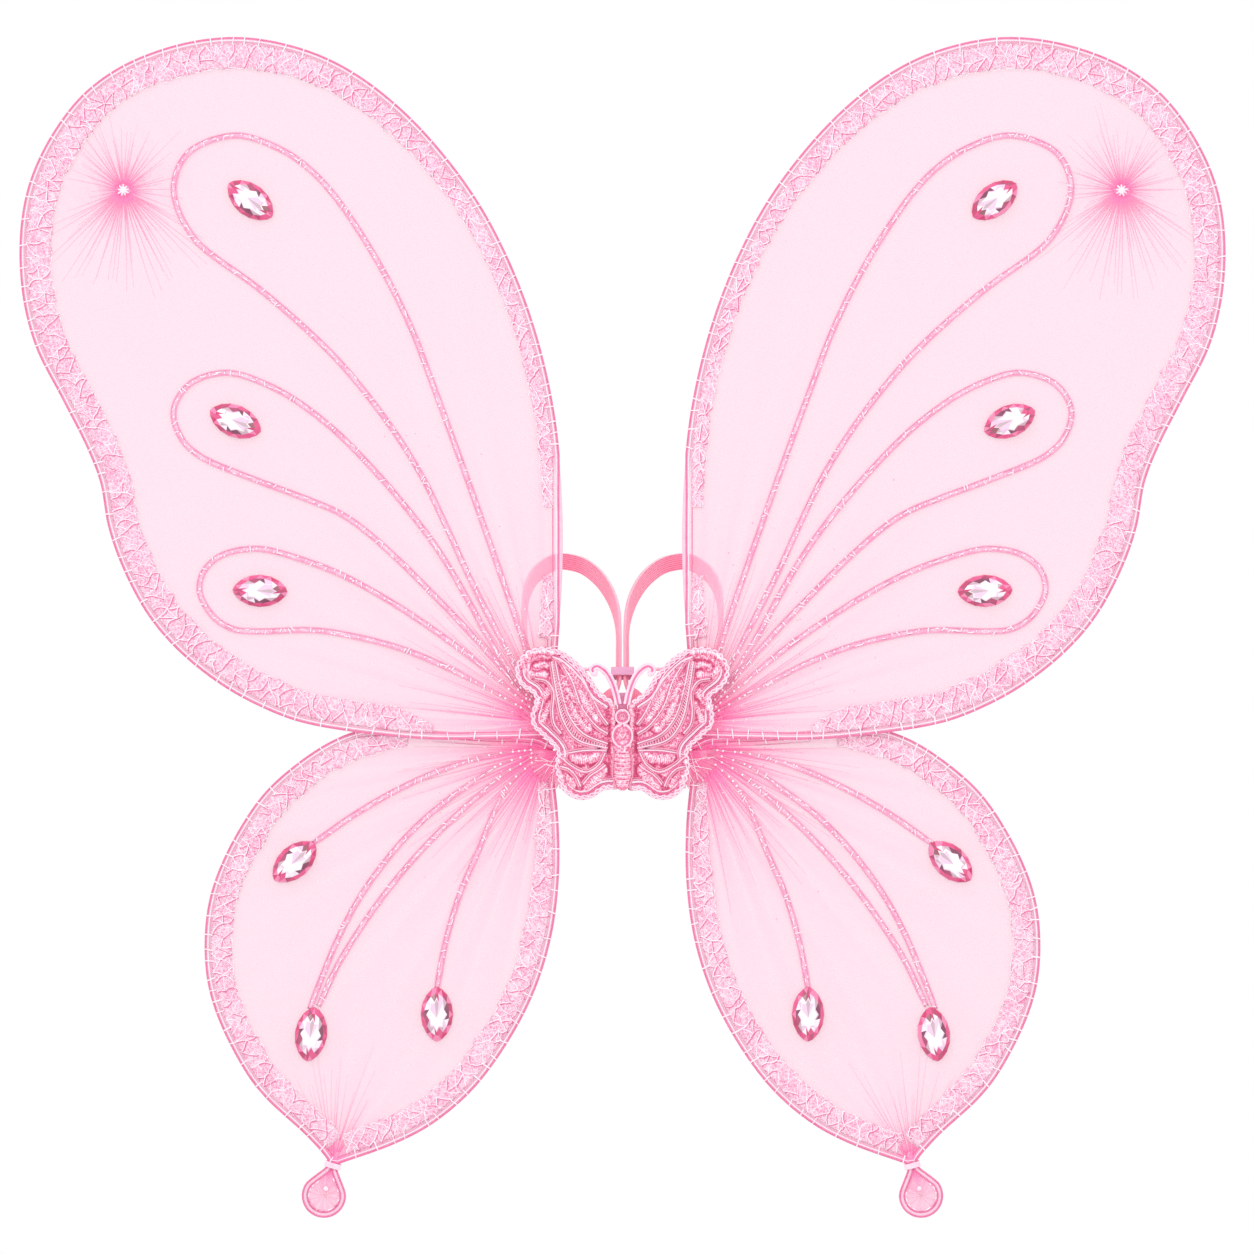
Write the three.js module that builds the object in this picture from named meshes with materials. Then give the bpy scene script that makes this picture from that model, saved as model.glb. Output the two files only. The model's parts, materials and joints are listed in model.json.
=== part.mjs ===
// Fairy wings: four bent-wire wings covered with sheer net and trimmed with lace, glitter veins and
// faceted gems, meeting at a padded hub behind an embroidered butterfly, with two elastic shoulder
// straps. Millimetres. X runs across the wings, +Z is up as worn, and -Y is the decorated face.
// The origin is the centre of the flat rear face of the back pad, which rests on the wearer.
import * as THREE from "three";
import { ConvexGeometry } from "three/addons/geometries/ConvexGeometry.js";

// Overall sizes.
const HALF_SPAN = 240; // centre line to the outermost edge of an upper wing
const UPPER_HEIGHT = 280; // pad centre up to the top edge of an upper wing
const LOWER_DROP = 169.5; // pad centre down to the tied neck of a lower wing

// Wing construction.
const WIRE_RADIUS = 1.05; // wrapped wire
const NET_THICKNESS = 0.8;
const BORDER_WIDTH = 9.6; // lace band inside the wire
const BORDER_INNER_SHARE = 0.56; // of that width along the inner edges, beside the body
const BORDER_THICKNESS = 0.5;
const VEIN_WIDTH = 2.7; // glitter cord, narrowing towards the root
const VEIN_ROOT_WIDTH = 0.9;
const VEIN_THICKNESS = 0.6;
const GEM_LENGTH = 22;
const GEM_WIDTH = 13;
const GEM_HEIGHT = 4.4;
const KNOT_RADIUS = 2.6; // tied star where the net ends on an upper wing
const KNOT_THICKNESS = 1.6;
const TAIL_RADIUS = 7.6; // wire centre line of the little drop under each lower wing
const TAIL_LENGTH = 12.6; // neck to the centre of that drop
const TAIL_LEAN = 0.28; // outward lean of the drop, radians
const BEAD_RADIUS = 1.3;

// Centre.
const PAD_HALF_WIDTH = 24;
const PAD_HALF_HEIGHT = 12.4;
const PAD_THICKNESS = 2.4;
const HUB_HALF_WIDTH = 19.8;
const HUB_HALF_HEIGHT = 11.4;
const HINGE_X = 22; // fold line of each wing, just outside the hub
const ROOT_STANDOFF = 3.8; // hub's rear face to the plane of the lower wings
const PLANE_GAP = 1.4; // between the lower and the upper wires
const LEG_SPACING = 3.4; // between the two ends of one wire loop where they enter the hub
const BINDING_WALL = 0.8;
const BINDING_LENGTH = 2.6;
const ROOT_BEND = 2.4; // where a wire leg leaves its binding and turns along the wing
const APPLIQUE_HALF_WIDTH = 43;
const APPLIQUE_THICKNESS = 3.4;
const APPLIQUE_CLEARANCE = 2.35; // behind the applique, in front of the wings
const APPLIQUE_BODY_HALF_WIDTH = 5.5;
const FLAP_CLEARANCE = 0.9; // between the butterfly's body and its moving wings
const ANTENNA_RADIUS = 0.95;

// Shoulder straps.
const STRAP_WIDTH = 6.4;
const STRAP_THICKNESS = 1.2;
const STRAP_PITCH = 3; // between the two straps where the slider holds them
const SLIDER_HALF_WIDTH = 4.6;
const SLIDER_LENGTH = 3.2;
const SLIDER_WALL = 0.9;

const GAP = 0.3; // between pieces that touch

// Depths of the layers, measured forwards (towards -Y) from the rear face of the pad.
const STRAP_DEPTH = PAD_THICKNESS + GAP + STRAP_THICKNESS / 2;
const HUB_REAR = STRAP_DEPTH + STRAP_THICKNESS / 2 + GAP;
const LOWER_PLANE = HUB_REAR + ROOT_STANDOFF;
const UPPER_PLANE = LOWER_PLANE + 2 * WIRE_RADIUS + PLANE_GAP;
const BINDING_HALF_DEPTH = WIRE_RADIUS + GAP + BINDING_WALL;
const APPLIQUE_REAR = UPPER_PLANE + BINDING_HALF_DEPTH + APPLIQUE_CLEARANCE;
const HUB_FRONT = APPLIQUE_REAR - GAP;
const TRIM_REAR = NET_THICKNESS / 2 + GAP; // trim lies on the net, in front of a wing's own plane

// Heights of the wire ends at the hub: two for the upper loop above two for the lower one.
const BINDING_HALF_HEIGHT = LEG_SPACING / 2 + BINDING_HALF_DEPTH;
const UPPER_ROOT_Z = BINDING_HALF_HEIGHT + GAP / 2;
const LOWER_ROOT_Z = -UPPER_ROOT_Z;
const LEG_END_X = HINGE_X + 1;

// The outlines below were drawn for these sizes and follow the overall sizes above.
const DRAWN = { hinge: 22, halfSpan: 240, height: 280, drop: 169.5, applique: 43 };
const REACH_SCALE = (HALF_SPAN - HINGE_X) / (DRAWN.halfSpan - DRAWN.hinge);
const planPoint = (heightScale) => ([x, z]) =>
  new THREE.Vector2(HINGE_X + (x - DRAWN.hinge) * REACH_SCALE, z * heightScale);
const upperPoint = planPoint(UPPER_HEIGHT / DRAWN.height);
const lowerPoint = planPoint(LOWER_DROP / DRAWN.drop);

// Wire centre lines, from the root round to the root, as distances from the centre line and heights.
const UPPER_OUTLINE = [
  [28.6, 15], [26.8, 40], [25, 66], [25, 92], [27.8, 127], [35, 160], [46.8, 192], [65, 223.6],
  [94, 255.2], [122, 272.4], [156, 279], [192, 271], [216, 254.6], [234.4, 224], [239, 192],
  [233.6, 160], [217, 127], [208, 107], [205.4, 96], [202.2, 80], [186.6, 48.6], [162, 25],
  [130.6, 9.2], [112.4, 5.8], [91.4, 2.7], [69.8, 1.5], [48.6, 1.9],
];
const LOWER_OUTER_EDGE = [
  [34, 0.2], [60, 1.4], [82, 3], [96, 3.6], [106, 2.4], [115, -1.2], [127.4, -8.9], [144.2, -24.6],
  [161.4, -56.2], [165.4, -80], [162.4, -104], [146.8, -135.4], [131.7, -151], [122.5, -159.5],
];
const LOWER_INNER_EDGE = [
  [108.6, -166.2], [89.5, -159], [76, -151.6], [58, -135.5], [38, -103.6], [28.6, -73],
  [26.4, -42], [28, -18],
];

// Veins: the upper ones are loops that start and end at the root, the lower ones run to a gem.
const UPPER_FOCUS = [31, 6];
const UPPER_VEINS = [
  [
    [35.4, 24], [39.8, 40], [57.2, 91], [71.1, 129.6], [88.3, 173.5], [111.8, 213.1], [124.7, 227.6],
    [137.6, 236.2], [154.7, 241], [173, 234], [178.8, 219.6], [170.8, 200.3], [146.1, 181],
    [114, 152.1], [84, 112.4], [59.1, 61.2], [44.1, 32.3], [39.5, 23],
  ],
  [
    [42.2, 23.4], [52.7, 39.8], [68.8, 68.7], [82.9, 88.8], [108.6, 117.8], [124.7, 131.7],
    [140.8, 141.4], [157.9, 146.5], [172.4, 142], [178.8, 131.7], [176.2, 121.2], [168.6, 113.5],
    [140.8, 101.7], [109.7, 88.8], [74.1, 56.9], [48.4, 29], [43.6, 22.6],
  ],
  [
    [46.6, 21.6], [55.9, 29.6], [73, 42.5], [89.1, 53.2], [108.4, 64.4], [128.8, 72.5],
    [145.9, 76.4], [160, 73.6], [167, 67], [168.4, 59.1], [163, 49.4], [155, 44.4], [144.9, 43.5],
    [122.4, 43.9], [104.1, 40.9], [84.8, 35.5], [67.7, 28], [49.5, 18.4],
  ],
];
const LOWER_FOCUS = [31.4, -0.8];
const LOWER_VEINS = [
  {
    name: "vein_to_outer_gem",
    route: [[50, -5.2], [67.8, -10.2], [85.9, -17.8], [104.2, -27.9], [120.4, -39]],
  },
  {
    name: "vein_front_to_tip_gem",
    route: [
      [49, -9.6], [66.6, -21.5], [82.7, -34.8], [94.6, -48.3], [107.4, -67], [116.4, -85.8],
      [123.4, -103.5],
    ],
  },
  {
    name: "vein_rear_to_tip_gem",
    route: [
      [46.6, -12.8], [57, -21.5], [72, -35.4], [87, -51.5], [103.1, -72.8], [113, -88.6],
      [119.6, -102.5],
    ],
  },
  {
    name: "vein_to_inner_gem",
    route: [[43.4, -15.4], [50.6, -26.8], [58.2, -46], [65.6, -63.2], [71, -82.4], [73.6, -96.5]],
  },
];

// Gems: place on the wing and turn of the long axis, in degrees up from level, outer end up.
const UPPER_GEMS = [
  { name: "top_gem", at: [148.2, 215.2], turn: 38 },
  { name: "middle_gem", at: [154.2, 127.2], turn: 23 },
  { name: "bottom_gem", at: [144.4, 59.6], turn: 2 },
];
const LOWER_GEMS = [
  { name: "outer_gem", at: [130.8, -48.4], turn: -42 },
  { name: "tip_gem", at: [124.2, -117.2], turn: -82 },
  { name: "inner_gem", at: [74, -109.2], turn: -90 },
];
const UPPER_KNOT = [198.8, 219.2];

// One wing of the embroidered butterfly, from the bottom of its joint with the body round to the top.
const FLAP_OUTLINE = [
  [0, -19.4], [7.4, -19.8], [12.6, -23], [18, -23.4], [23, -20.6], [25.6, -16], [26.9, -9], [26.3, -4.5],
  [31.4, 1.3], [35.8, 5.7], [36.5, 9.6], [35.2, 17.6], [40.3, 21.7], [42.4, 25.5], [42.4, 30],
  [38.4, 35.4], [31.4, 37.3], [23.1, 35.1], [18, 31.2], [12.9, 25.5], [9.2, 19.8], [0, 13.6],
];
const BODY_OUTLINE = [
  [0, -20.4], [3.6, -19.6], [5.5, -14], [5.5, 4], [3.6, 11], [1.6, 12.8], [0, 13.1],
];
const ANTENNA_ROUTE = [
  [1.7, 14.4], [2.6, 18.6], [4, 22.9], [5.6, 26], [7.8, 28.4], [10.4, 29.6], [12, 28.3], [11, 26.6],
];

const COLOURS = {
  wire: 0xf08fb8, net: 0xfbdcea, border: 0xf6a9cb, vein: 0xf7b3d0, gem: 0xf3dde9, knot: 0xffffff,
  binding: 0xfbe8f1, bead: 0xf4c3da, pad: 0xf3a8c8, hub: 0xe58ab2, applique: 0xf092b9,
  strap: 0xf690b8, slider: 0xd9b4dc,
};

function finish(colour, roughness = 0.7, metalness = 0) {
  return new THREE.MeshStandardMaterial({ color: colour, roughness, metalness });
}

function named(name, geometry, material) {
  const mesh = new THREE.Mesh(geometry, material);
  mesh.name = name;
  return mesh;
}

// ---- Plane curves -------------------------------------------------------------------------------

const SPAN_STEPS = 24; // points on a smooth line between two of its given points

function smooth(points, perSpan = SPAN_STEPS) {
  const curve = new THREE.CatmullRomCurve3(
    points.map((p) => new THREE.Vector3(p.x, p.y, 0)),
    false,
    "centripetal",
  );
  return curve.getPoints((points.length - 1) * perSpan).map((p) => new THREE.Vector2(p.x, p.y));
}

// Keeps a point wherever the line has turned by maxTurn radians or run on for maxStep.
function thinned(points, maxTurn = 0.2, maxStep = 22) {
  const kept = [points[0]];
  let turned = 0;
  for (let i = 1; i < points.length - 1; i++) {
    const before = points[i].clone().sub(points[i - 1]);
    const after = points[i + 1].clone().sub(points[i]);
    turned += Math.abs(Math.atan2(before.cross(after), before.dot(after)));
    if (turned >= maxTurn || points[i].distanceTo(kept.at(-1)) >= maxStep) {
      kept.push(points[i]);
      turned = 0;
    }
  }
  if (kept.at(-1).distanceTo(points.at(-1)) < 0.5) kept.pop();
  kept.push(points.at(-1));
  return kept;
}

function distanceToLine(point, line) {
  let least = Infinity;
  for (let i = 1; i < line.length; i++) {
    const span = line[i].clone().sub(line[i - 1]);
    const along = point.clone().sub(line[i - 1]).dot(span) / (span.lengthSq() || 1);
    const foot = line[i - 1].clone().addScaledVector(span, THREE.MathUtils.clamp(along, 0, 1));
    least = Math.min(least, foot.distanceTo(point));
  }
  return least;
}

function normals(line) {
  return line.map((_, i) => {
    const a = line[Math.max(i - 1, 0)];
    const b = line[Math.min(i + 1, line.length - 1)];
    return new THREE.Vector2(b.y - a.y, a.x - b.x).normalize();
  });
}

// The line moved sideways (to its right for a positive distance), without the points that would
// come closer to the whole line than that, so that a tight bend leaves no knot in the result.
function offsetLine(line, distanceAt, whole = line) {
  const side = normals(line);
  return line
    .map((p, i) => ({ p: p.clone().addScaledVector(side[i], distanceAt(p)), d: distanceAt(p) }))
    .filter(({ p, d }) => distanceToLine(p, whole) > d - 0.05)
    .map(({ p }) => p);
}

// ---- Solids -------------------------------------------------------------------------------------

// A flat piece in a wing's plane: its rear face at the given depth, growing towards -Y.
function plate(points, side, rear, thickness) {
  const shape = new THREE.Shape(points.map((p) => new THREE.Vector2(side * p.x, p.y)));
  const geometry = new THREE.ExtrudeGeometry(shape, { depth: thickness, bevelEnabled: false });
  return geometry.rotateX(Math.PI / 2).translate(0, -rear, 0);
}

// A path through given points, with the steps of an extrusion falling on those very points.
class PointPath extends THREE.Curve {
  constructor(points) {
    super();
    this.points = points;
  }
  getPoint(t, target = new THREE.Vector3()) {
    const place = t * (this.points.length - 1);
    const i = Math.min(Math.floor(place), this.points.length - 2);
    return target.lerpVectors(this.points[i], this.points[i + 1], place - i);
  }
  getPointAt(u, target) {
    return this.getPoint(u, target);
  }
  getTangentAt(u, target = new THREE.Vector3()) {
    const last = this.points.length - 1;
    const i = Math.round(u * last);
    const a = this.points[Math.max(i - 1, 0)];
    const b = this.points[Math.min(i + 1, last)];
    return target.subVectors(b, a).normalize();
  }
}

function tube(points, radius, sides = 6) {
  const section = new THREE.Shape();
  for (let i = 0; i < sides; i++) {
    const angle = (2 * Math.PI * i) / sides;
    section[i ? "lineTo" : "moveTo"](radius * Math.cos(angle), radius * Math.sin(angle));
  }
  return new THREE.ExtrudeGeometry(section, {
    steps: points.length - 1,
    extrudePath: new PointPath(points),
    bevelEnabled: false,
  });
}

function wire(line, side) {
  return tube(line.map((p) => new THREE.Vector3(side * p.x, 0, p.y)), WIRE_RADIUS);
}

// A rounded rectangular sleeve round two wires, centred, its bore along X.
function sleeve(halfDepth, halfHeight, length, wall) {
  const outline = (shape, w, h, r) => {
    shape.moveTo(-w + r, -h);
    shape.lineTo(w - r, -h).quadraticCurveTo(w, -h, w, -h + r);
    shape.lineTo(w, h - r).quadraticCurveTo(w, h, w - r, h);
    shape.lineTo(-w + r, h).quadraticCurveTo(-w, h, -w, h - r);
    shape.lineTo(-w, -h + r).quadraticCurveTo(-w, -h, -w + r, -h);
    return shape;
  };
  const shape = outline(new THREE.Shape(), halfHeight, halfDepth, wall);
  shape.holes.push(outline(new THREE.Path(), halfHeight - wall, halfDepth - wall, wall / 2));
  return new THREE.ExtrudeGeometry(shape, { depth: length, bevelEnabled: false, curveSegments: 3 })
    .translate(0, 0, -length / 2)
    .rotateY(Math.PI / 2);
}

// A flat band along a path, its width turned the way each point's second vector says.
function band(stations, width, thickness) {
  const along = new THREE.CatmullRomCurve3(stations.map((s) => s.at), false, "centripetal");
  const across = new THREE.CatmullRomCurve3(stations.map((s) => s.across), false, "catmullrom");
  const steps = 4 * (stations.length - 1);
  const positions = [];
  for (let i = 0; i <= steps; i++) {
    const centre = along.getPoint(i / steps);
    const ahead = along.getTangent(i / steps);
    const normal = new THREE.Vector3().crossVectors(ahead, across.getPoint(i / steps)).normalize();
    const wide = new THREE.Vector3().crossVectors(normal, ahead);
    for (const [w, n] of [[-1, -1], [1, -1], [1, 1], [-1, 1]]) {
      const corner = centre.clone().addScaledVector(wide, (w * width) / 2);
      positions.push(...corner.addScaledVector(normal, (n * thickness) / 2).toArray());
    }
  }
  const index = [0, 2, 1, 0, 3, 2];
  for (let i = 0; i < steps; i++) {
    for (let k = 0; k < 4; k++) {
      const a = 4 * i + k;
      const b = 4 * i + ((k + 1) % 4);
      index.push(a, b, a + 4, b, b + 4, a + 4);
    }
  }
  const end = 4 * steps;
  index.push(end, end + 1, end + 2, end, end + 2, end + 3);
  const geometry = new THREE.BufferGeometry();
  geometry.setAttribute("position", new THREE.Float32BufferAttribute(positions, 3));
  geometry.setIndex(index);
  geometry.computeVertexNormals();
  return geometry;
}

// A pointed-oval faceted stone, flat behind, its long axis along X.
function gemGeometry() {
  const ring = (share, depth, points) =>
    Array.from({ length: points }, (_, i) => {
      const angle = (2 * Math.PI * i) / points;
      const x = Math.cos(angle);
      const z = Math.sign(Math.sin(angle)) * Math.abs(Math.sin(angle)) ** 1.25;
      return new THREE.Vector3((share * x * GEM_LENGTH) / 2, -depth, (share * z * GEM_WIDTH) / 2);
    });
  return new ConvexGeometry([
    ...ring(0.97, 0, 12),
    ...ring(1, 0.7, 12),
    ...ring(0.74, GEM_HEIGHT * 0.72, 8),
    ...ring(0.42, GEM_HEIGHT, 8),
  ]);
}

// ---- Wings --------------------------------------------------------------------------------------

// The straight end of a wire leg, from the hub through its binding, then its bend by turn (+1 up).
function rootLeg(height, turn) {
  const out = LEG_END_X + BINDING_LENGTH + 2 * GAP;
  return [
    new THREE.Vector2(LEG_END_X, height),
    new THREE.Vector2((LEG_END_X + out) / 2, height),
    new THREE.Vector2(out, height),
    new THREE.Vector2(out + ROOT_BEND, height + turn * ROOT_BEND),
  ];
}

function upperLine() {
  return smooth([
    ...rootLeg(UPPER_ROOT_Z + LEG_SPACING / 2, 1),
    ...UPPER_OUTLINE.map(upperPoint),
    ...rootLeg(UPPER_ROOT_Z - LEG_SPACING / 2, 0).reverse(),
  ]);
}

const NECK = lowerPoint([115.6, -169.5]);
const tailDown = new THREE.Vector2(Math.sin(TAIL_LEAN), -Math.cos(TAIL_LEAN));
const tailAcross = new THREE.Vector2(Math.cos(TAIL_LEAN), Math.sin(TAIL_LEAN));
const tailPoint = (across, down) =>
  NECK.clone().addScaledVector(tailAcross, across).addScaledVector(tailDown, down);
const NECK_HALF = WIRE_RADIUS + GAP / 2; // wire centre lines side by side at the neck

// A wire's straight run down through the neck binding, on the outer (+1) or inner (-1) side.
function neckLeg(across) {
  const half = BINDING_LENGTH / 2 + GAP;
  return [-half, 0, half].map((down) => tailPoint(across * NECK_HALF, down));
}

function tailArc() {
  const arc = [];
  for (let angle = 50; angle >= -230; angle -= 35) {
    const a = THREE.MathUtils.degToRad(angle);
    arc.push(tailPoint(TAIL_RADIUS * Math.cos(a), TAIL_LENGTH - TAIL_RADIUS * Math.sin(a)));
  }
  return arc;
}

function lowerOuterPoints() {
  return [
    ...rootLeg(LOWER_ROOT_Z + LEG_SPACING / 2, 0),
    ...LOWER_OUTER_EDGE.map(lowerPoint),
    ...neckLeg(1),
  ];
}

function lowerInnerPoints() {
  return [
    ...neckLeg(-1).reverse(),
    ...LOWER_INNER_EDGE.map(lowerPoint),
    ...rootLeg(LOWER_ROOT_Z - LEG_SPACING / 2, -1).reverse(),
  ];
}

const netEdge = () => WIRE_RADIUS + GAP;

// The net's edge runs beside the wire, corner for corner with the wire's own corner points.
function netOutline(corners) {
  return offsetLine(corners, netEdge);
}

// Lace band along the part of a wing's line that keeps the given rule. Its outer edge follows the
// wire's corner points and its inner edge the full line.
function borderOutline(line, edge, wanted, widthAt) {
  const outer = offsetLine(edge.filter(wanted), netEdge, edge);
  const inner = offsetLine(line.filter(wanted), (p) => netEdge() + widthAt(p), line);
  return [...outer, ...thinned(inner).reverse()];
}

function veinOutline(route, place, focus) {
  const line = thinned(smooth(route.map(place)), 0.14, 20);
  const root = place(focus);
  const side = normals(line);
  const half = line.map((p) => {
    const width = THREE.MathUtils.clamp(0.065 * p.distanceTo(root), VEIN_ROOT_WIDTH, VEIN_WIDTH);
    return width / 2;
  });
  const right = line.map((p, i) => p.clone().addScaledVector(side[i], half[i]));
  const left = line.map((p, i) => p.clone().addScaledVector(side[i], -half[i]));
  return [...right, ...left.reverse()];
}

function gem(name, at, turn, side) {
  const mesh = named(name, gemGeometry(), finish(COLOURS.gem, 0.05, 0.3));
  mesh.position.set(side * at.x, -TRIM_REAR, at.y);
  mesh.rotation.y = -side * THREE.MathUtils.degToRad(turn);
  return mesh;
}

function rootBinding(name, height, side) {
  const geometry = sleeve(BINDING_HALF_DEPTH, BINDING_HALF_HEIGHT, BINDING_LENGTH, BINDING_WALL);
  const mesh = named(name, geometry, finish(COLOURS.binding));
  mesh.position.set(side * (LEG_END_X + BINDING_LENGTH / 2 + GAP), 0, height);
  return mesh;
}

function knot(name, at, side) {
  const points = Array.from({ length: 16 }, (_, i) => {
    const radius = i % 2 ? KNOT_RADIUS * 0.45 : KNOT_RADIUS;
    const angle = (i * Math.PI) / 8;
    return new THREE.Vector2(at.x + radius * Math.cos(angle), at.y + radius * Math.sin(angle));
  });
  return named(name, plate(points, side, TRIM_REAR, KNOT_THICKNESS), finish(COLOURS.knot));
}

function upperWing(label, side) {
  const wing = new THREE.Group();
  wing.position.y = -UPPER_PLANE;
  const line = upperLine();
  const corners = thinned(line);
  const borderStart = upperPoint([0, 38]).y;
  const borderEnd = upperPoint([74, 0]).x;
  const onBorder = (p) => p.y > borderStart || p.x > borderEnd;
  // Narrow along the inner edge, full round the outside, and fading out along the bottom edge.
  const borderWidth = (p) => {
    const outward = THREE.MathUtils.smoothstep(p.x, HINGE_X, 0.63 * HALF_SPAN);
    const fade = THREE.MathUtils.smoothstep(p.x, borderEnd - BORDER_WIDTH, borderEnd + 2 * BORDER_WIDTH);
    const share = p.y > borderStart ? THREE.MathUtils.lerp(BORDER_INNER_SHARE, 1, outward) : fade;
    return BORDER_WIDTH * share;
  };
  const netRear = -NET_THICKNESS / 2;
  wing.add(
    named(`${label}_upper_frame`, wire(corners, side), finish(COLOURS.wire, 0.5)),
    named(
      `${label}_upper_net`,
      plate(netOutline(corners), side, netRear, NET_THICKNESS),
      finish(COLOURS.net),
    ),
    named(
      `${label}_upper_lace`,
      plate(borderOutline(line, corners, onBorder, borderWidth), side, TRIM_REAR, BORDER_THICKNESS),
      finish(COLOURS.border),
    ),
    knot(`${label}_upper_knot`, upperPoint(UPPER_KNOT), side),
    rootBinding(`${label}_upper_binding`, UPPER_ROOT_Z, side),
  );
  UPPER_VEINS.forEach((route, i) => {
    const outline = veinOutline(route, upperPoint, UPPER_FOCUS);
    const geometry = plate(outline, side, TRIM_REAR, VEIN_THICKNESS);
    wing.add(named(`${label}_upper_vein_${i + 1}`, geometry, finish(COLOURS.vein)));
  });
  for (const { name, at, turn } of UPPER_GEMS) {
    wing.add(gem(`${label}_upper_${name}`, upperPoint(at), turn, side));
  }
  return wing;
}

function lowerWing(label, side) {
  const wing = new THREE.Group();
  wing.position.y = -LOWER_PLANE;
  const outer = lowerOuterPoints();
  const inner = lowerInnerPoints();
  const arc = tailArc();
  const frameLine = smooth([...outer, ...arc, ...inner]);
  const netLine = [
    ...frameLine.slice(0, (outer.length - 2) * SPAN_STEPS + 1),
    ...frameLine.slice((outer.length + arc.length + 1) * SPAN_STEPS),
  ];
  const frameCorners = thinned(frameLine);
  const netCorners = frameCorners.filter((p) => netLine.includes(p));
  const borderStart = lowerPoint([84, 0]).x;
  const innerEdge = lowerPoint([60, 0]).x;
  const borderTop = lowerPoint([0, -16]).y;
  const outerSide = (p) => p.x > borderStart || (p.x > innerEdge && p.y < borderTop);
  const onBorder = (p) => outerSide(p) || p.y < borderTop;
  const borderWidth = (p) => {
    const fade = THREE.MathUtils.smoothstep(p.x, borderStart, borderStart + 2 * BORDER_WIDTH);
    if (p.y > borderTop) return BORDER_WIDTH * THREE.MathUtils.lerp(BORDER_INNER_SHARE, 1, fade);
    const drop = THREE.MathUtils.smoothstep(-p.y, -borderTop, -4 * borderTop);
    return p.x > innerEdge ? BORDER_WIDTH : BORDER_WIDTH * THREE.MathUtils.lerp(BORDER_INNER_SHARE, 1, drop);
  };
  const netRear = -NET_THICKNESS / 2;
  const tailNet = Array.from({ length: 18 }, (_, i) => {
    const a = (2 * Math.PI * i) / 18;
    const r = TAIL_RADIUS - WIRE_RADIUS - GAP;
    return tailPoint(r * Math.cos(a), TAIL_LENGTH + r * Math.sin(a));
  });
  const bead = new THREE.SphereGeometry(BEAD_RADIUS, 10, 8);
  bead.translate(0, -TRIM_REAR - BEAD_RADIUS, 0);
  const beadMesh = named(`${label}_tail_bead`, bead, finish(COLOURS.bead, 0.2));
  const beadAt = tailPoint(0, TAIL_LENGTH - 0.4 * TAIL_RADIUS);
  beadMesh.position.set(side * beadAt.x, 0, beadAt.y);
  const neckHalf = NECK_HALF + WIRE_RADIUS + GAP + BINDING_WALL;
  const neck = sleeve(BINDING_HALF_DEPTH, neckHalf, BINDING_LENGTH, BINDING_WALL);
  const neckMesh = named(`${label}_neck_binding`, neck, finish(COLOURS.binding));
  neckMesh.position.set(side * NECK.x, 0, NECK.y);
  neckMesh.rotation.y = side * (Math.PI / 2 - TAIL_LEAN);
  wing.add(
    named(`${label}_lower_frame`, wire(frameCorners, side), finish(COLOURS.wire, 0.5)),
    named(
      `${label}_lower_net`,
      plate(netOutline(netCorners), side, netRear, NET_THICKNESS),
      finish(COLOURS.net),
    ),
    named(
      `${label}_lower_lace`,
      plate(borderOutline(netLine, netCorners, onBorder, borderWidth), side, TRIM_REAR, BORDER_THICKNESS),
      finish(COLOURS.border),
    ),
    named(`${label}_tail_net`, plate(tailNet, side, netRear, NET_THICKNESS), finish(COLOURS.net)),
    beadMesh,
    neckMesh,
    rootBinding(`${label}_lower_binding`, LOWER_ROOT_Z, side),
  );
  for (const { name, route } of LOWER_VEINS) {
    const geometry = plate(veinOutline(route, lowerPoint, LOWER_FOCUS), side, TRIM_REAR, VEIN_THICKNESS);
    wing.add(named(`${label}_lower_${name}`, geometry, finish(COLOURS.vein)));
  }
  for (const { name, at, turn } of LOWER_GEMS) {
    wing.add(gem(`${label}_lower_${name}`, lowerPoint(at), turn, side));
  }
  return wing;
}

// ---- Centre -------------------------------------------------------------------------------------

function roundedPlate(halfWidth, halfHeight, corner, rear, thickness) {
  const points = [];
  for (const [sx, sz, start] of [[1, 1, 0], [-1, 1, 1], [-1, -1, 2], [1, -1, 3]]) {
    for (let i = 0; i <= 5; i++) {
      const angle = ((start + i / 5) * Math.PI) / 2;
      points.push(
        new THREE.Vector2(
          sx * (halfWidth - corner) + corner * Math.cos(angle),
          sz * (halfHeight - corner) + corner * Math.sin(angle),
        ),
      );
    }
  }
  return plate(points, 1, rear, thickness);
}

function appliqueFlap(label, side) {
  const scale = APPLIQUE_HALF_WIDTH / DRAWN.applique;
  const inner = APPLIQUE_BODY_HALF_WIDTH + FLAP_CLEARANCE;
  const points = FLAP_OUTLINE.map(([x, z]) => new THREE.Vector2(Math.max(inner, x * scale), z * scale));
  const geometry = plate(points, side, APPLIQUE_REAR, APPLIQUE_THICKNESS);
  return named(`${label}_applique_wing`, geometry, finish(COLOURS.applique));
}

function appliqueBody() {
  const scaleX = APPLIQUE_BODY_HALF_WIDTH / 5.5;
  const scaleZ = APPLIQUE_HALF_WIDTH / DRAWN.applique;
  const half = BODY_OUTLINE.map(([x, z]) => new THREE.Vector2(x * scaleX, z * scaleZ));
  const mirrored = half.slice(1, -1).reverse().map((p) => new THREE.Vector2(-p.x, p.y));
  const geometry = plate([...half, ...mirrored], 1, APPLIQUE_REAR, APPLIQUE_THICKNESS);
  return named("applique_body", geometry, finish(COLOURS.applique));
}

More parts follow.
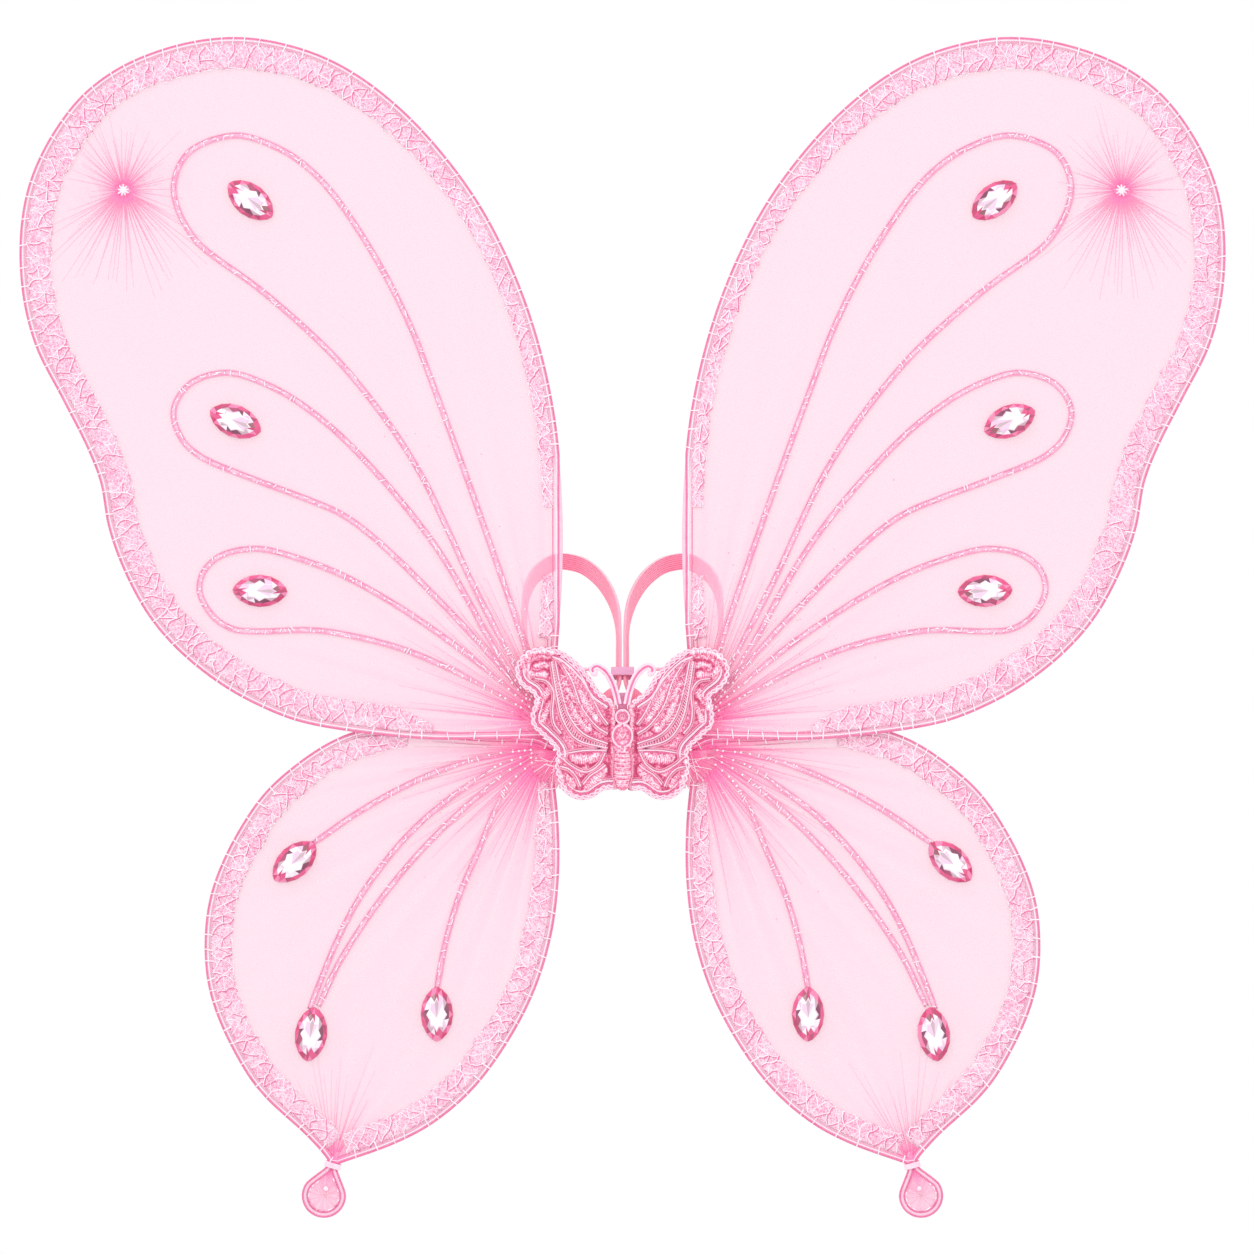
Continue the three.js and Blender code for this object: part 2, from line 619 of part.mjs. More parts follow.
function antenna(label, side) {
  const scale = APPLIQUE_HALF_WIDTH / DRAWN.applique;
  const depth = APPLIQUE_REAR + APPLIQUE_THICKNESS / 2;
  const line = smooth(ANTENNA_ROUTE.map(([x, z]) => new THREE.Vector2(x * scale, z * scale)), 4);
  const points = line.map((p) => new THREE.Vector3(side * p.x, -depth, p.y));
  return named(`${label}_antenna`, tube(points, ANTENNA_RADIUS), finish(COLOURS.applique));
}

// ---- Straps -------------------------------------------------------------------------------------

// Along the slider's travel the two straps run side by side, leaning back a little.
const STRAP_LEAN = 0.27; // radians back from upright
const STRAP_HALF_PITCH = STRAP_PITCH / 2;
const strapUp = new THREE.Vector3(0, Math.sin(STRAP_LEAN), Math.cos(STRAP_LEAN));
const strapAcross = new THREE.Vector3(0, Math.cos(STRAP_LEAN), -Math.sin(STRAP_LEAN));
const SLIDER_AT = new THREE.Vector3(0, -0.6, 26.6);

function strap(label, side) {
  const run = (distance) => SLIDER_AT.clone().addScaledVector(strapUp, distance).setX(STRAP_HALF_PITCH);
  const [ax, ay, az] = strapAcross.toArray();
  const flat = -STRAP_DEPTH;
  const innerEnd = STRAP_WIDTH / 2 + 4.8;
  const outerEnd = innerEnd + STRAP_WIDTH + 1.2;
  const padTop = PAD_HALF_HEIGHT + 0.8;
  const route = [
    [[innerEnd, flat, 1], [1, 0, 0]],
    [[innerEnd, flat, 8], [1, 0, 0]],
    [[innerEnd - 0.6, flat, padTop], [1, 0, 0]],
    [[5, -2.4, padTop + 4.4], [0.65, 0.75, 0]],
    [run(-4).toArray(), [ax, ay, az]],
    [run(0).toArray(), [ax, ay, az]],
    [run(8).toArray(), [ax, ay, az]],
    [run(17).toArray(), [ax, ay, az]],
    [[2.2, 12, 50], [0.05, 0.75, -0.65]],
    [[5.2, 27, 58.6], [0.1, 0.55, -0.8]],
    [[11, 44, 66.4], [0.1, 0.4, -0.9]],
    [[18.6, 57, 71], [0, 0.3, -0.95]],
    [[27, 61, 71.8], [0, 0.25, -0.95]],
    [[34.4, 55, 67.4], [0, 0.3, -0.93]],
    [[38.6, 42, 60], [0, 0.45, -0.88]],
    [[39.6, 29, 52], [0, 0.55, -0.83]],
    [[39.2, 18, 43.6], [0, 0.65, -0.75]],
    [[37.2, 9, 34.6], [0.1, 0.7, -0.7]],
    [[33, 2.4, 25], [0.4, 0.45, -0.75]],
    [[29.4, -1.6, 18.4], [0.62, 0.15, -0.75]],
    [[PAD_HALF_WIDTH + 1.6, flat, 13.2], [0.66, 0, -0.75]],
    [[outerEnd + 3, flat, 6.8], [0.66, 0, -0.75]],
    [[outerEnd, flat, 3.8], [0.66, 0, -0.75]],
  ];
  const stations = route.map(([at, across]) => ({
    at: new THREE.Vector3(side * at[0], at[1], at[2]),
    across: new THREE.Vector3(side * across[0], across[1], across[2]),
  }));
  return named(`${label}_strap`, band(stations, STRAP_WIDTH, STRAP_THICKNESS), finish(COLOURS.strap, 0.45));
}

function strapSlider() {
  const boreHalf = STRAP_WIDTH / 2 + GAP;
  const halfDepth = boreHalf + SLIDER_WALL;
  const geometry = sleeve(SLIDER_HALF_WIDTH, halfDepth, SLIDER_LENGTH, SLIDER_WALL);
  // The sleeve's bore turns up along the straps, and its longer wall faces the viewer.
  geometry.rotateY(-Math.PI / 2).rotateZ(Math.PI / 2);
  const mesh = named("strap_slider", geometry, finish(COLOURS.slider, 0.4));
  mesh.position.copy(SLIDER_AT);
  mesh.rotation.x = -STRAP_LEAN;
  return mesh;
}

// ---- The whole ----------------------------------------------------------------------------------

const wings = new THREE.Group();
wings.add(
  named(
    "back_pad",
    roundedPlate(PAD_HALF_WIDTH, PAD_HALF_HEIGHT, 9, 0, PAD_THICKNESS),
    finish(COLOURS.pad, 0.95),
  ),
  named(
    "wire_hub",
    roundedPlate(HUB_HALF_WIDTH, HUB_HALF_HEIGHT, 5, HUB_REAR, HUB_FRONT - HUB_REAR),
    finish(COLOURS.hub),
  ),
  appliqueBody(),
  strapSlider(),
);
for (const [label, side] of [["left", -1], ["right", 1]]) {
  wings.add(
    upperWing(label, side),
    lowerWing(label, side),
    appliqueFlap(label, side),
    antenna(label, side),
    strap(label, side),
  );
}

export default wings;
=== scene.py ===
"""Looks of the fairy wings: nets, lace, veins, stones, embroidery and straps round the frame."""
import json
import math
import random

import bmesh
import bpy
import numpy as np
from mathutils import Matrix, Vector

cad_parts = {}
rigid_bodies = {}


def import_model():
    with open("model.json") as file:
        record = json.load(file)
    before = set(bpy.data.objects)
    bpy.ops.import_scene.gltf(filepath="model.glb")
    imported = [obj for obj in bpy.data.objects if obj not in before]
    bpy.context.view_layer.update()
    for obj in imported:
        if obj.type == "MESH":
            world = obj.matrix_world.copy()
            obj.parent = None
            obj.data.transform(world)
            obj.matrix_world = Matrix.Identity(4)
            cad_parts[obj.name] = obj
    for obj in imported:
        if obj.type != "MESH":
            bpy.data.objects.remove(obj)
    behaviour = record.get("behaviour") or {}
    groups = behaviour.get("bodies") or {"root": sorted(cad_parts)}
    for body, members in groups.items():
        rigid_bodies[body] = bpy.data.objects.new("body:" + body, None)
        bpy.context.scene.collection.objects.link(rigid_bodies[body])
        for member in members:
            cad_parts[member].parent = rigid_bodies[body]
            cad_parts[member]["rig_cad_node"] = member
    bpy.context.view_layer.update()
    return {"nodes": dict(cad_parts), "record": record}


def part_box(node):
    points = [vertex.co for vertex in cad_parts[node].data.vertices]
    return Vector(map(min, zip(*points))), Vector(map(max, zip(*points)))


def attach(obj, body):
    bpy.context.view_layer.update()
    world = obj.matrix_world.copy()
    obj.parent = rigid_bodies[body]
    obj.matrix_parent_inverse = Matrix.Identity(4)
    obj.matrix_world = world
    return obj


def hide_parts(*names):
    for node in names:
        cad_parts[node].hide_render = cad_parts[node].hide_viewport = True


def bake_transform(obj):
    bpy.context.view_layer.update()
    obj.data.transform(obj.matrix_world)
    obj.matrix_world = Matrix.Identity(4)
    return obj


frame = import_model()

MM = 0.001
SIDES = {"left": -1, "right": 1}
WIRE_RADIUS = 1.05 * MM
LOWER_LACE_SHARE = 0.86  # of the lace band's CAD width, on the lower wings
BUNDLE_SQUARENESS = 0.55  # power of squared_circle: 1 is round, towards 0 is square
RNG = random.Random(11)
NOISE = np.random.default_rng(7)

# ---- Camera, world and light ---------------------------------------------------------------------

CAMERA_AT = Vector((1.8 * MM, -3.0, 45.2 * MM))
VIEW_WIDTH = 501.6 * MM  # seen across the picture in the plane of the wings


def make_camera():
    data = bpy.data.cameras.new("camera")
    data.lens = data.sensor_width * -CAMERA_AT.y / VIEW_WIDTH
    data.clip_end = 50
    camera = bpy.data.objects.new("camera", data)
    camera.location = CAMERA_AT
    camera.rotation_euler = (math.pi / 2, 0, 0)
    bpy.context.scene.collection.objects.link(camera)
    bpy.context.scene.camera = camera


def make_light(name, at, power, size):
    data = bpy.data.lights.new(name, "AREA")
    data.energy = power
    data.size = size
    light = bpy.data.objects.new(name, data)
    light.location = at
    light.rotation_euler = (-Vector(at)).to_track_quat("-Z", "Y").to_euler()
    bpy.context.scene.collection.objects.link(light)


def make_world(strength):
    world = bpy.data.worlds.new("studio")
    world.use_nodes = True
    background = world.node_tree.nodes["Background"]
    background.inputs["Color"].default_value = (1, 1, 1, 1)
    background.inputs["Strength"].default_value = strength
    bpy.context.scene.world = world


make_camera()
make_world(1.0)
make_light("key", (-0.9, -1.3, 1.5), 9, 0.9)
make_light("fill", (1.4, -1.2, 0.4), 3, 1.2)
make_light("back", (0.3, 1.4, 1.2), 5, 1.0)
bpy.context.scene.view_settings.view_transform = "Standard"

# ---- Materials -----------------------------------------------------------------------------------


class Nodes:
    """A material's node tree, built a node at a time."""

    def __init__(self, name):
        self.material = bpy.data.materials.new(name)
        self.material.use_nodes = True
        self.tree = self.material.node_tree
        self.shader = self.tree.nodes["Principled BSDF"]

    def add(self, kind, settings=(), **inputs):
        node = self.tree.nodes.new(kind)
        for key, value in dict(settings).items():
            setattr(node, key, value)
        for key, value in inputs.items():
            self.set(node.inputs[key.replace("_", " ")], value)
        return node

    def set(self, socket, value):
        if isinstance(value, bpy.types.NodeSocket):
            self.tree.links.new(value, socket)
        else:
            socket.default_value = value

    def place(self):
        return self.add("ShaderNodeTexCoord").outputs["Object"]

    def attribute(self, name):
        return self.add("ShaderNodeAttribute", {"attribute_name": name}).outputs["Fac"]

    def maths(self, operation, a, b=0.0):
        node = self.add("ShaderNodeMath", {"operation": operation})
        self.set(node.inputs[0], a)
        self.set(node.inputs[1], b)
        return node.outputs[0]

    def noise(self, scale, detail=2.0, at=None):
        node = self.add("ShaderNodeTexNoise", Scale=scale, Detail=detail)
        self.set(node.inputs["Vector"], at or self.place())
        return node.outputs["Fac"]

    def ramp(self, factor, stops):
        node = self.add("ShaderNodeValToRGB", Fac=factor)
        ramp = node.color_ramp
        while len(ramp.elements) < len(stops):
            ramp.elements.new(0.5)
        for element, (position, colour) in zip(ramp.elements, stops):
            element.position = position
            element.color = (*colour, 1)
        return node.outputs["Color"]

    def mix(self, factor, a, b):
        node = self.add("ShaderNodeMix", {"data_type": "RGBA"})
        self.set(node.inputs[0], factor)
        self.set(node.inputs[6], a if isinstance(a, bpy.types.NodeSocket) else (*a, 1))
        self.set(node.inputs[7], b if isinstance(b, bpy.types.NodeSocket) else (*b, 1))
        return node.outputs[2]

    def bump(self, height, strength, distance):
        node = self.add("ShaderNodeBump", Strength=strength, Distance=distance, Height=height)
        self.set(self.shader.inputs["Normal"], node.outputs["Normal"])

    def finish(self, colour, roughness=0.6, painted_glow=0.0, **constants):
        """The glow argument is painted light: an emission in the surface's own colour that lifts the shade on
        thin cloth and fine thread.
        """
        self.set(self.shader.inputs["Base Color"], colour)
        if painted_glow:
            self.set(self.shader.inputs["Emission Color"], colour)
            self.set(self.shader.inputs["Emission Strength"], painted_glow)
        self.shader.inputs["Roughness"].default_value = roughness
        for key, value in constants.items():
            self.set(self.shader.inputs[key.replace("_", " ")], value)
        return self.material


def srgb(r, g, b):
    def linear(c):
        c /= 255
        return c / 12.92 if c <= 0.04045 else ((c + 0.055) / 1.055) ** 2.4

    return (linear(r), linear(g), linear(b))


def net_material():
    n = Nodes("sheer_net")
    blush = n.attribute("blush")
    weave = n.add("ShaderNodeTexVoronoi", {"feature": "DISTANCE_TO_EDGE"}, Scale=1500.0)
    n.set(weave.inputs["Vector"], n.place())
    open_cells = n.maths("MULTIPLY", weave.outputs["Distance"], 1.2)
    streak = n.noise(60, 3)
    tone = n.maths("ADD", blush, n.maths("MULTIPLY", n.maths("SUBTRACT", streak, 0.5), 0.06))
    colour = n.ramp(
        tone,
        [
            (0, srgb(250, 200, 221)),
            (0.35, srgb(254, 172, 205)),
            (0.7, srgb(253, 140, 190)),
            (1, srgb(248, 122, 182)),
        ],
    )
    alpha = n.maths("ADD", 0.36, n.maths("MULTIPLY", blush, 0.6))
    alpha = n.maths("SUBTRACT", alpha, n.maths("MULTIPLY", open_cells, 0.25))
    n.bump(weave.outputs["Distance"], 0.15, 0.0001)
    # painted light: the net glows in its own colour, more strongly where the pink is deeper
    return n.finish(colour, 0.75, n.maths("MULTIPLY", blush, 0.2), Alpha=alpha)


def lace_material():
    n = Nodes("lace")
    place = n.place()
    speckle = n.noise(2300, 5, place)
    grain = n.add("ShaderNodeTexVoronoi", {"feature": "F1"}, Scale=900.0)
    n.set(grain.inputs["Vector"], place)
    patches = n.noise(150, 3, place)
    grains = n.maths("MULTIPLY", grain.outputs["Distance"], 0.22)
    tone = n.maths("ADD", n.maths("MULTIPLY", speckle, 0.72), grains)
    tone = n.maths("ADD", tone, n.maths("MULTIPLY", patches, 0.16))
    colour = n.ramp(
        tone,
        [
            (0.42, srgb(240, 124, 176)),
            (0.5, srgb(249, 176, 209)),
            (0.57, srgb(253, 211, 230)),
            (0.68, srgb(255, 240, 248)),
        ],
    )
    alpha = n.maths("ADD", 0.46, n.maths("MULTIPLY", speckle, 0.5))
    n.bump(grain.outputs["Distance"], 0.5, 0.0003)
    # painted light: the lace glows faintly in its own colour
    return n.finish(colour, 0.5, 0.05, Alpha=alpha)


def thread_material(name, dark, light, pitch=900.0, roughness=0.45, painted_glow=0.0):
    n = Nodes(name)
    place = n.place()
    strands = n.add("ShaderNodeTexWave", {"bands_direction": "DIAGONAL"}, Scale=pitch, Distortion=2.0)
    n.set(strands.inputs["Vector"], place)
    uneven = n.noise(240, 3)
    tone = n.maths("ADD", n.maths("MULTIPLY", strands.outputs["Fac"], 0.55), n.maths("MULTIPLY", uneven, 0.5))
    colour = n.ramp(tone, [(0.15, dark), (0.85, light)])
    n.bump(strands.outputs["Fac"], 0.35, 0.0002)
    return n.finish(colour, roughness, painted_glow, Sheen_Weight=0.25)


def glitter_material():
    n = Nodes("glitter_cord")
    grain = n.add("ShaderNodeTexVoronoi", {"feature": "F1"}, Scale=1300.0)
    n.set(grain.inputs["Vector"], n.place())
    # painted glints: small grains are lightened in the colour
    painted_glints = n.maths("LESS_THAN", grain.outputs["Distance"], 0.25)
    tone = n.maths("ADD", n.maths("MULTIPLY", painted_glints, 0.4), n.noise(300, 2))
    colour = n.ramp(tone, [(0.3, srgb(246, 162, 200)), (0.7, srgb(253, 204, 225)), (1, srgb(255, 244, 250))])
    n.bump(grain.outputs["Distance"], 0.6, 0.0002)
    return n.finish(colour, 0.4)


def felt_material():
    n = Nodes("felt")
    fibres = n.noise(1400, 6)
    clouds = n.noise(90, 3)
    tone = n.maths("ADD", n.maths("MULTIPLY", fibres, 0.6), n.maths("MULTIPLY", clouds, 0.4))
    colour = n.ramp(tone, [(0.3, srgb(226, 112, 158)), (0.7, srgb(248, 160, 196))])
    n.bump(fibres, 0.6, 0.0004)
    return n.finish(colour, 0.95, Sheen_Weight=0.5)


def satin_material(name, dark, light):
    n = Nodes(name)
    place = n.place()
    weave = n.add("ShaderNodeTexWave", {"bands_direction": "Z"}, Scale=700.0, Distortion=0.6)
    n.set(weave.inputs["Vector"], place)
    threads = n.maths("MULTIPLY", weave.outputs["Fac"], 0.4)
    tone = n.maths("ADD", threads, n.maths("MULTIPLY", n.noise(160), 0.6))
    colour = n.ramp(tone, [(0.2, dark), (0.8, light)])
    n.bump(weave.outputs["Fac"], 0.2, 0.0001)
    return n.finish(colour, 0.35, Sheen_Weight=0.3)


def elastic_material():
    n = Nodes("elastic")
    # rib carries painted shade in the grooves and painted highlight on the crests and edges
    ribs = n.maths("MULTIPLY", n.attribute("rib"), 0.7)
    tone = n.maths("ADD", ribs, n.maths("MULTIPLY", n.noise(500, 3), 0.3))
    stops = [(0.1, srgb(238, 100, 146)), (0.5, srgb(255, 150, 182)), (0.95, srgb(255, 190, 210))]
    colour = n.ramp(tone, stops)
    n.bump(n.noise(1800, 4), 0.25, 0.0001)
    return n.finish(colour, 0.4, Sheen_Weight=0.35)


def stone_material():
    n = Nodes("stone")
    # the colours on the facets are partly the glass's pink and partly painted reflections
    facet_colour = n.add("ShaderNodeAttribute", {"attribute_name": "facet"}).outputs["Color"]
    cloud = n.noise(260, 2)
    colour = n.mix(n.maths("MULTIPLY", cloud, 0.1), facet_colour, (1.0, 0.86, 0.95))
    return n.finish(colour, 0.1, Coat_Weight=0.15, Coat_Roughness=0.03)


def bead_material():
    n = Nodes("bead")
    colour = n.ramp(n.noise(500, 2), [(0.3, srgb(255, 214, 232)), (0.7, srgb(255, 244, 250))])
    return n.finish(colour, 0.15, Coat_Weight=0.6)


MATERIALS = {
    "net": net_material(),
    "lace": lace_material(),
    "wire": thread_material("wire_wrap", srgb(248, 176, 208), srgb(255, 224, 237)),
    "hem": thread_material("hem_cord", srgb(228, 84, 142), srgb(248, 142, 188)),
    "bundle": thread_material("wire_bundle", srgb(222, 84, 138), srgb(248, 150, 190)),
    # painted light: the white and pale threads glow a little in their own colour
    "white": thread_material(
        "white_thread", srgb(251, 214, 231), srgb(255, 248, 252), 1300.0, 0.5, painted_glow=0.16
    ),
    "pale": thread_material("pale_cord", srgb(246, 172, 204), srgb(255, 240, 247), 1100.0, 0.5, painted_glow=0.12),
    "edge": thread_material("vein_edge", srgb(246, 142, 186), srgb(254, 186, 214), 1100.0),
    "glitter": glitter_material(),
    "stone": stone_material(),
    "bead": bead_material(),
    "felt": felt_material(),
    "cord": thread_material("embroidery_cord", srgb(226, 96, 146), srgb(255, 196, 218), 1000.0),
    "elastic": elastic_material(),
    "lilac": satin_material("lilac_satin", srgb(224, 150, 196), srgb(246, 200, 228)),
}

# ---- Mesh making ---------------------------------------------------------------------------------


class Builder:
    """Collects grids and tubes into one mesh, with a material and values for each part."""

    def __init__(self, *materials):
        self.materials = materials
        self.points = []
        self.faces = []
        self.kinds = []
        self.values = {}
        self.count = 0

    def add(self, points, faces, kind=0, **values):
        points = np.asarray(points, float).reshape(-1, 3)
        for key in set(values) | set(self.values):
            column = self.values.setdefault(key, [np.zeros(self.count)])
            column.append(np.broadcast_to(values.get(key, 0.0), len(points)).astype(float))
        self.points.append(points)
        self.faces += [tuple(int(i) + self.count for i in face) for face in faces]
        self.kinds += [kind] * len(faces)
        self.count += len(points)

    def grid(self, points, kind=0, close=False, caps=False, **values):
        """A rows by columns sheet; close joins the last column to the first, and caps fills both ends."""
        points = np.asarray(points, float)
        rows, columns = points.shape[:2]
        faces = []
        for i in range(rows - 1):
            for j in range(columns if close else columns - 1):
                k = (j + 1) % columns
                faces.append((i * columns + j, i * columns + k, (i + 1) * columns + k, (i + 1) * columns + j))
        if caps:
            faces.append(tuple(range(columns))[::-1])
            faces.append(tuple((rows - 1) * columns + j for j in range(columns)))
        flat = {k: np.asarray(v, float).reshape(-1) if np.ndim(v) else v for k, v in values.items()}
        self.add(points, faces, kind, **flat)

    def tube(self, path, radius, sides=8, kind=0, up=(0, 1, 0), flat=1.0, **values):
        """A round cord along a path; flat below 1 squashes it along up."""
        path = np.asarray(path, float)
        if len(path) < 2:
            return
        ahead = np.gradient(path, axis=0)
        ahead /= np.linalg.norm(ahead, axis=1)[:, None] + 1e-12
        up = np.broadcast_to(np.asarray(up, float), path.shape)
        high = up - (up * ahead).sum(1)[:, None] * ahead
        high /= np.linalg.norm(high, axis=1)[:, None] + 1e-12
        wide = np.cross(ahead, high)
        angles = np.linspace(0, 2 * math.pi, sides, endpoint=False)
        radius = np.broadcast_to(radius, len(path))[:, None, None]
        along_wide = np.cos(angles)[None, :, None] * wide[:, None]
        ring = along_wide + flat * np.sin(angles)[None, :, None] * high[:, None]
        self.grid(path[:, None] + radius * ring, kind, close=True, caps=True, **values)

    def ball(self, centre, radius, kind=0, rings=5, sides=8, squash=1.0, **values):
        """A small round bead or glitter dot, flattened along Y by squash."""
        centre = np.asarray(centre, float)
        heights = np.cos(np.linspace(0.15, math.pi - 0.15, rings))
        angles = np.linspace(0, 2 * math.pi, sides, endpoint=False)
        out = np.sqrt(1 - heights**2)
        x = out[:, None] * np.cos(angles)
        z = out[:, None] * np.sin(angles)
        y = np.broadcast_to(squash * heights[:, None], x.shape)
        self.grid(centre + radius * np.stack([x, y, z], -1), kind, close=True, caps=True, **values)

    def object(self, name):
        mesh = bpy.data.meshes.new(name)
        mesh.from_pydata(np.concatenate(self.points).tolist(), [], self.faces)
        for material in self.materials:
            mesh.materials.append(material)
        mesh.polygons.foreach_set("material_index", self.kinds)
        mesh.polygons.foreach_set("use_smooth", [True] * len(mesh.polygons))
        for key, columns in self.values.items():
            mesh.attributes.new(key, "FLOAT", "POINT").data.foreach_set("value", np.concatenate(columns))
        mesh.update()
        made = bpy.data.objects.new(name, mesh)
        bpy.context.scene.collection.objects.link(made)
        return made


def piece(builder, name, body, slot, *replaced):
    made = builder.object(name)
    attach(made, body)
    if replaced:
        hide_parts(*replaced)
    return made


# ---- Reading the frame ---------------------------------------------------------------------------


def welded(node):
    """A CAD node's own corners and triangles."""
    mesh = frame["nodes"][node].data
    places = np.array([v.co for v in mesh.vertices])
    _, first, inverse = np.unique(np.round(places, 6), axis=0, return_index=True, return_inverse=True)
    mesh.calc_loop_triangles()
    triangles = inverse.reshape(-1)[np.array([t.vertices for t in mesh.loop_triangles])]
    return places[first], triangles


def sections(node, sides, start):
    """The rings of a CAD tube or band in order, from the ring whose corners start picks out."""
    places, triangles = welded(node)
    beside = [set() for _ in places]
    for a, b, c in triangles:
        beside[a] |= {b, c}
        beside[b] |= {a, c}
        beside[c] |= {a, b}
    ring = list(start(places, sides))
    seen = set(ring)
    rings = [places[ring]]
    while True:
        layer = {j for i in ring for j in beside[i]} - seen
        if len(layer) != sides:
            break
        layer = list(layer)
        seen |= set(layer)
        here, there = places[ring], places[layer]
        apart = np.linalg.norm(
            (here - here.mean(0))[:, None] - (there - there.mean(0))[None], axis=2
        )
        order = []
        for row in apart:
            best = min((d, j) for j, d in enumerate(row) if j not in order)[1]
            order.append(best)
        ring = [layer[j] for j in order]
        rings.append(places[ring])
    return np.array(rings)


def outline(node):
    """The edge of a flat CAD node's front face, in order, as x and z."""
    places, triangles = welded(node)
    front = places[:, 1] < places[:, 1].min() + 1e-5
    uses = {}
    for t in triangles:
        if front[t].all():
            for a, b in ((t[0], t[1]), (t[1], t[2]), (t[2], t[0])):
                key = (min(a, b), max(a, b))
                uses[key] = uses.get(key, 0) + 1
    after = {}
    for (a, b), n in uses.items():
        if n == 1:
            after.setdefault(a, []).append(b)
            after.setdefault(b, []).append(a)
    loop = [next(iter(after))]
    previous = None
    while True:
        ahead = [p for p in after[loop[-1]] if p != previous]
        if not ahead or ahead[0] == loop[0]:
            break
        previous = loop[-1]
        loop.append(ahead[0])
    return places[loop][:, [0, 2]]


def smooth_line(points, step):
    """A centripetal spline through the points, with a point every step."""
    p = np.asarray(points, float)
    p = np.vstack([2 * p[0] - p[1], p, 2 * p[-1] - p[-2]])
    dense = []
    for i in range(1, len(p) - 2):
        knots = np.concatenate(
            [[0], np.cumsum(np.linalg.norm(np.diff(p[i - 1 : i + 3], axis=0), axis=1) ** 0.5 + 1e-9)]
        )
        t = np.linspace(knots[1], knots[2], 12, endpoint=False)[:, None]

        def between(a, b, ta, tb):
            return ((tb - t) * a + (t - ta) * b) / (tb - ta)

        a1 = between(p[i - 1], p[i], knots[0], knots[1])
        a2 = between(p[i], p[i + 1], knots[1], knots[2])
        a3 = between(p[i + 1], p[i + 2], knots[2], knots[3])
        b1 = between(a1, a2, knots[0], knots[2])
        b2 = between(a2, a3, knots[1], knots[3])
        dense.append(between(b1, b2, knots[1], knots[2]))
    dense.append(p[-2:-1])
    return even(np.vstack(dense), step)


def even(points, step):
    along = np.concatenate([[0], np.cumsum(np.linalg.norm(np.diff(points, axis=0), axis=1))])
    wanted = np.linspace(0, along[-1], max(2, round(along[-1] / step) + 1))
    return np.stack([np.interp(wanted, along, c) for c in points.T], -1)


def inward(line, centre):
    """Unit vectors in the wing's plane, square to the line and turned to the wing's inside."""
    ahead = np.gradient(line, axis=0)
    side = np.stack([-ahead[:, 2], np.zeros(len(line)), ahead[:, 0]], -1)
    side /= np.linalg.norm(side, axis=1)[:, None] + 1e-12
    towards = (side * (centre - line)).sum(1).sum()
    return side if towards > 0 else -side


def room_inside(line, side, limit, whole):
    """How far one can go in from each point before another stretch of the wire is nearer."""
    room = np.full(len(line), 0.0)
    going = np.ones(len(line), bool)
    for d in np.arange(1, limit / MM, 0.5) * MM:
        spots = (line + side * d)[:, None, [0, 2]] - whole[None][:, :, [0, 2]]
        nearest = np.linalg.norm(spots, axis=2).min(1)
        going &= nearest > d - 0.25 * MM
        room[going] = d
    return room


# ---- Wings ---------------------------------------------------------------------------------------


class Wing:
    """One wing's lines and places, read from its CAD nodes."""

    def __init__(self, label, level):
        self.label, self.level = label, level
        self.side = SIDES[label]
        self.body = f"{label}_{level}_wing"
        self.name = f"{label}_{level}"
        rings = sections(f"{self.name}_frame", 6, self.leg_end)
        self.wire = smooth_line(rings.mean(1), 1.5 * MM)
        self.plane = float(self.wire[:, 1].mean())
        self.root = self.root_focus()
        self.neck = None
        edge = self.wire
        if level == "lower":
            low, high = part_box(f"{label}_neck_binding")
            self.neck = np.array((low + high) / 2)
            edge = self.wire[self.wire[:, 2] > self.neck[2] + 1.2 * MM]
            self.drop = self.wire[self.wire[:, 2] <= self.neck[2] + 1.2 * MM]
        out = np.abs(edge[:, 0])
        self.edge = edge[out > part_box(f"{self.name}_binding")[self.outer_corner()][0] * self.side + 0.3 * MM]
        self.centre = self.edge.mean(0)
        self.inside = inward(self.edge, self.centre)

    def outer_corner(self):
        return 1 if self.side > 0 else 0

    def leg_end(self, places, sides):
        """The corners of the upper of the wire's two ends."""
        out = np.abs(places[:, 0])
        ends = np.flatnonzero(out < out.min() + 0.2 * MM)
        return ends[np.argsort(-places[ends, 2])][:sides]

    def root_focus(self):
        low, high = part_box(f"{self.name}_binding")
        middle = np.array((low + high) / 2)
        lift = 3.0 if self.level == "upper" else 1.0
        return np.array([middle[0] + self.side * 5 * MM, self.plane, middle[2] + lift * MM])


def fade(distance, reach):
    return np.exp(-np.maximum(distance, 0) / reach)


def squared_circle(angle, power):
    """Cosine and sine of the angle, pushed out towards the corners of a square by a power below 1."""
    c, s = np.cos(angle), np.sin(angle)
    return np.sign(c) * np.abs(c) ** power, np.sign(s) * np.abs(s) ** power


def folds(angle, count, seed):
    """Uneven pleats round a gather, from 0 to 1, as a function of the angle."""
    shifts = np.random.default_rng(seed).uniform(0, 2 * math.pi, 4)
    wave = (
        np.sin(angle * count + shifts[0] + 1.3 * np.sin(3 * angle + shifts[1]))
        + 0.6 * np.sin(angle * count * 1.73 + shifts[2])
        + 0.4 * np.sin(angle * count * 2.91 + shifts[3])
    )
    return np.clip(0.5 + 0.27 * wave, 0, 1)


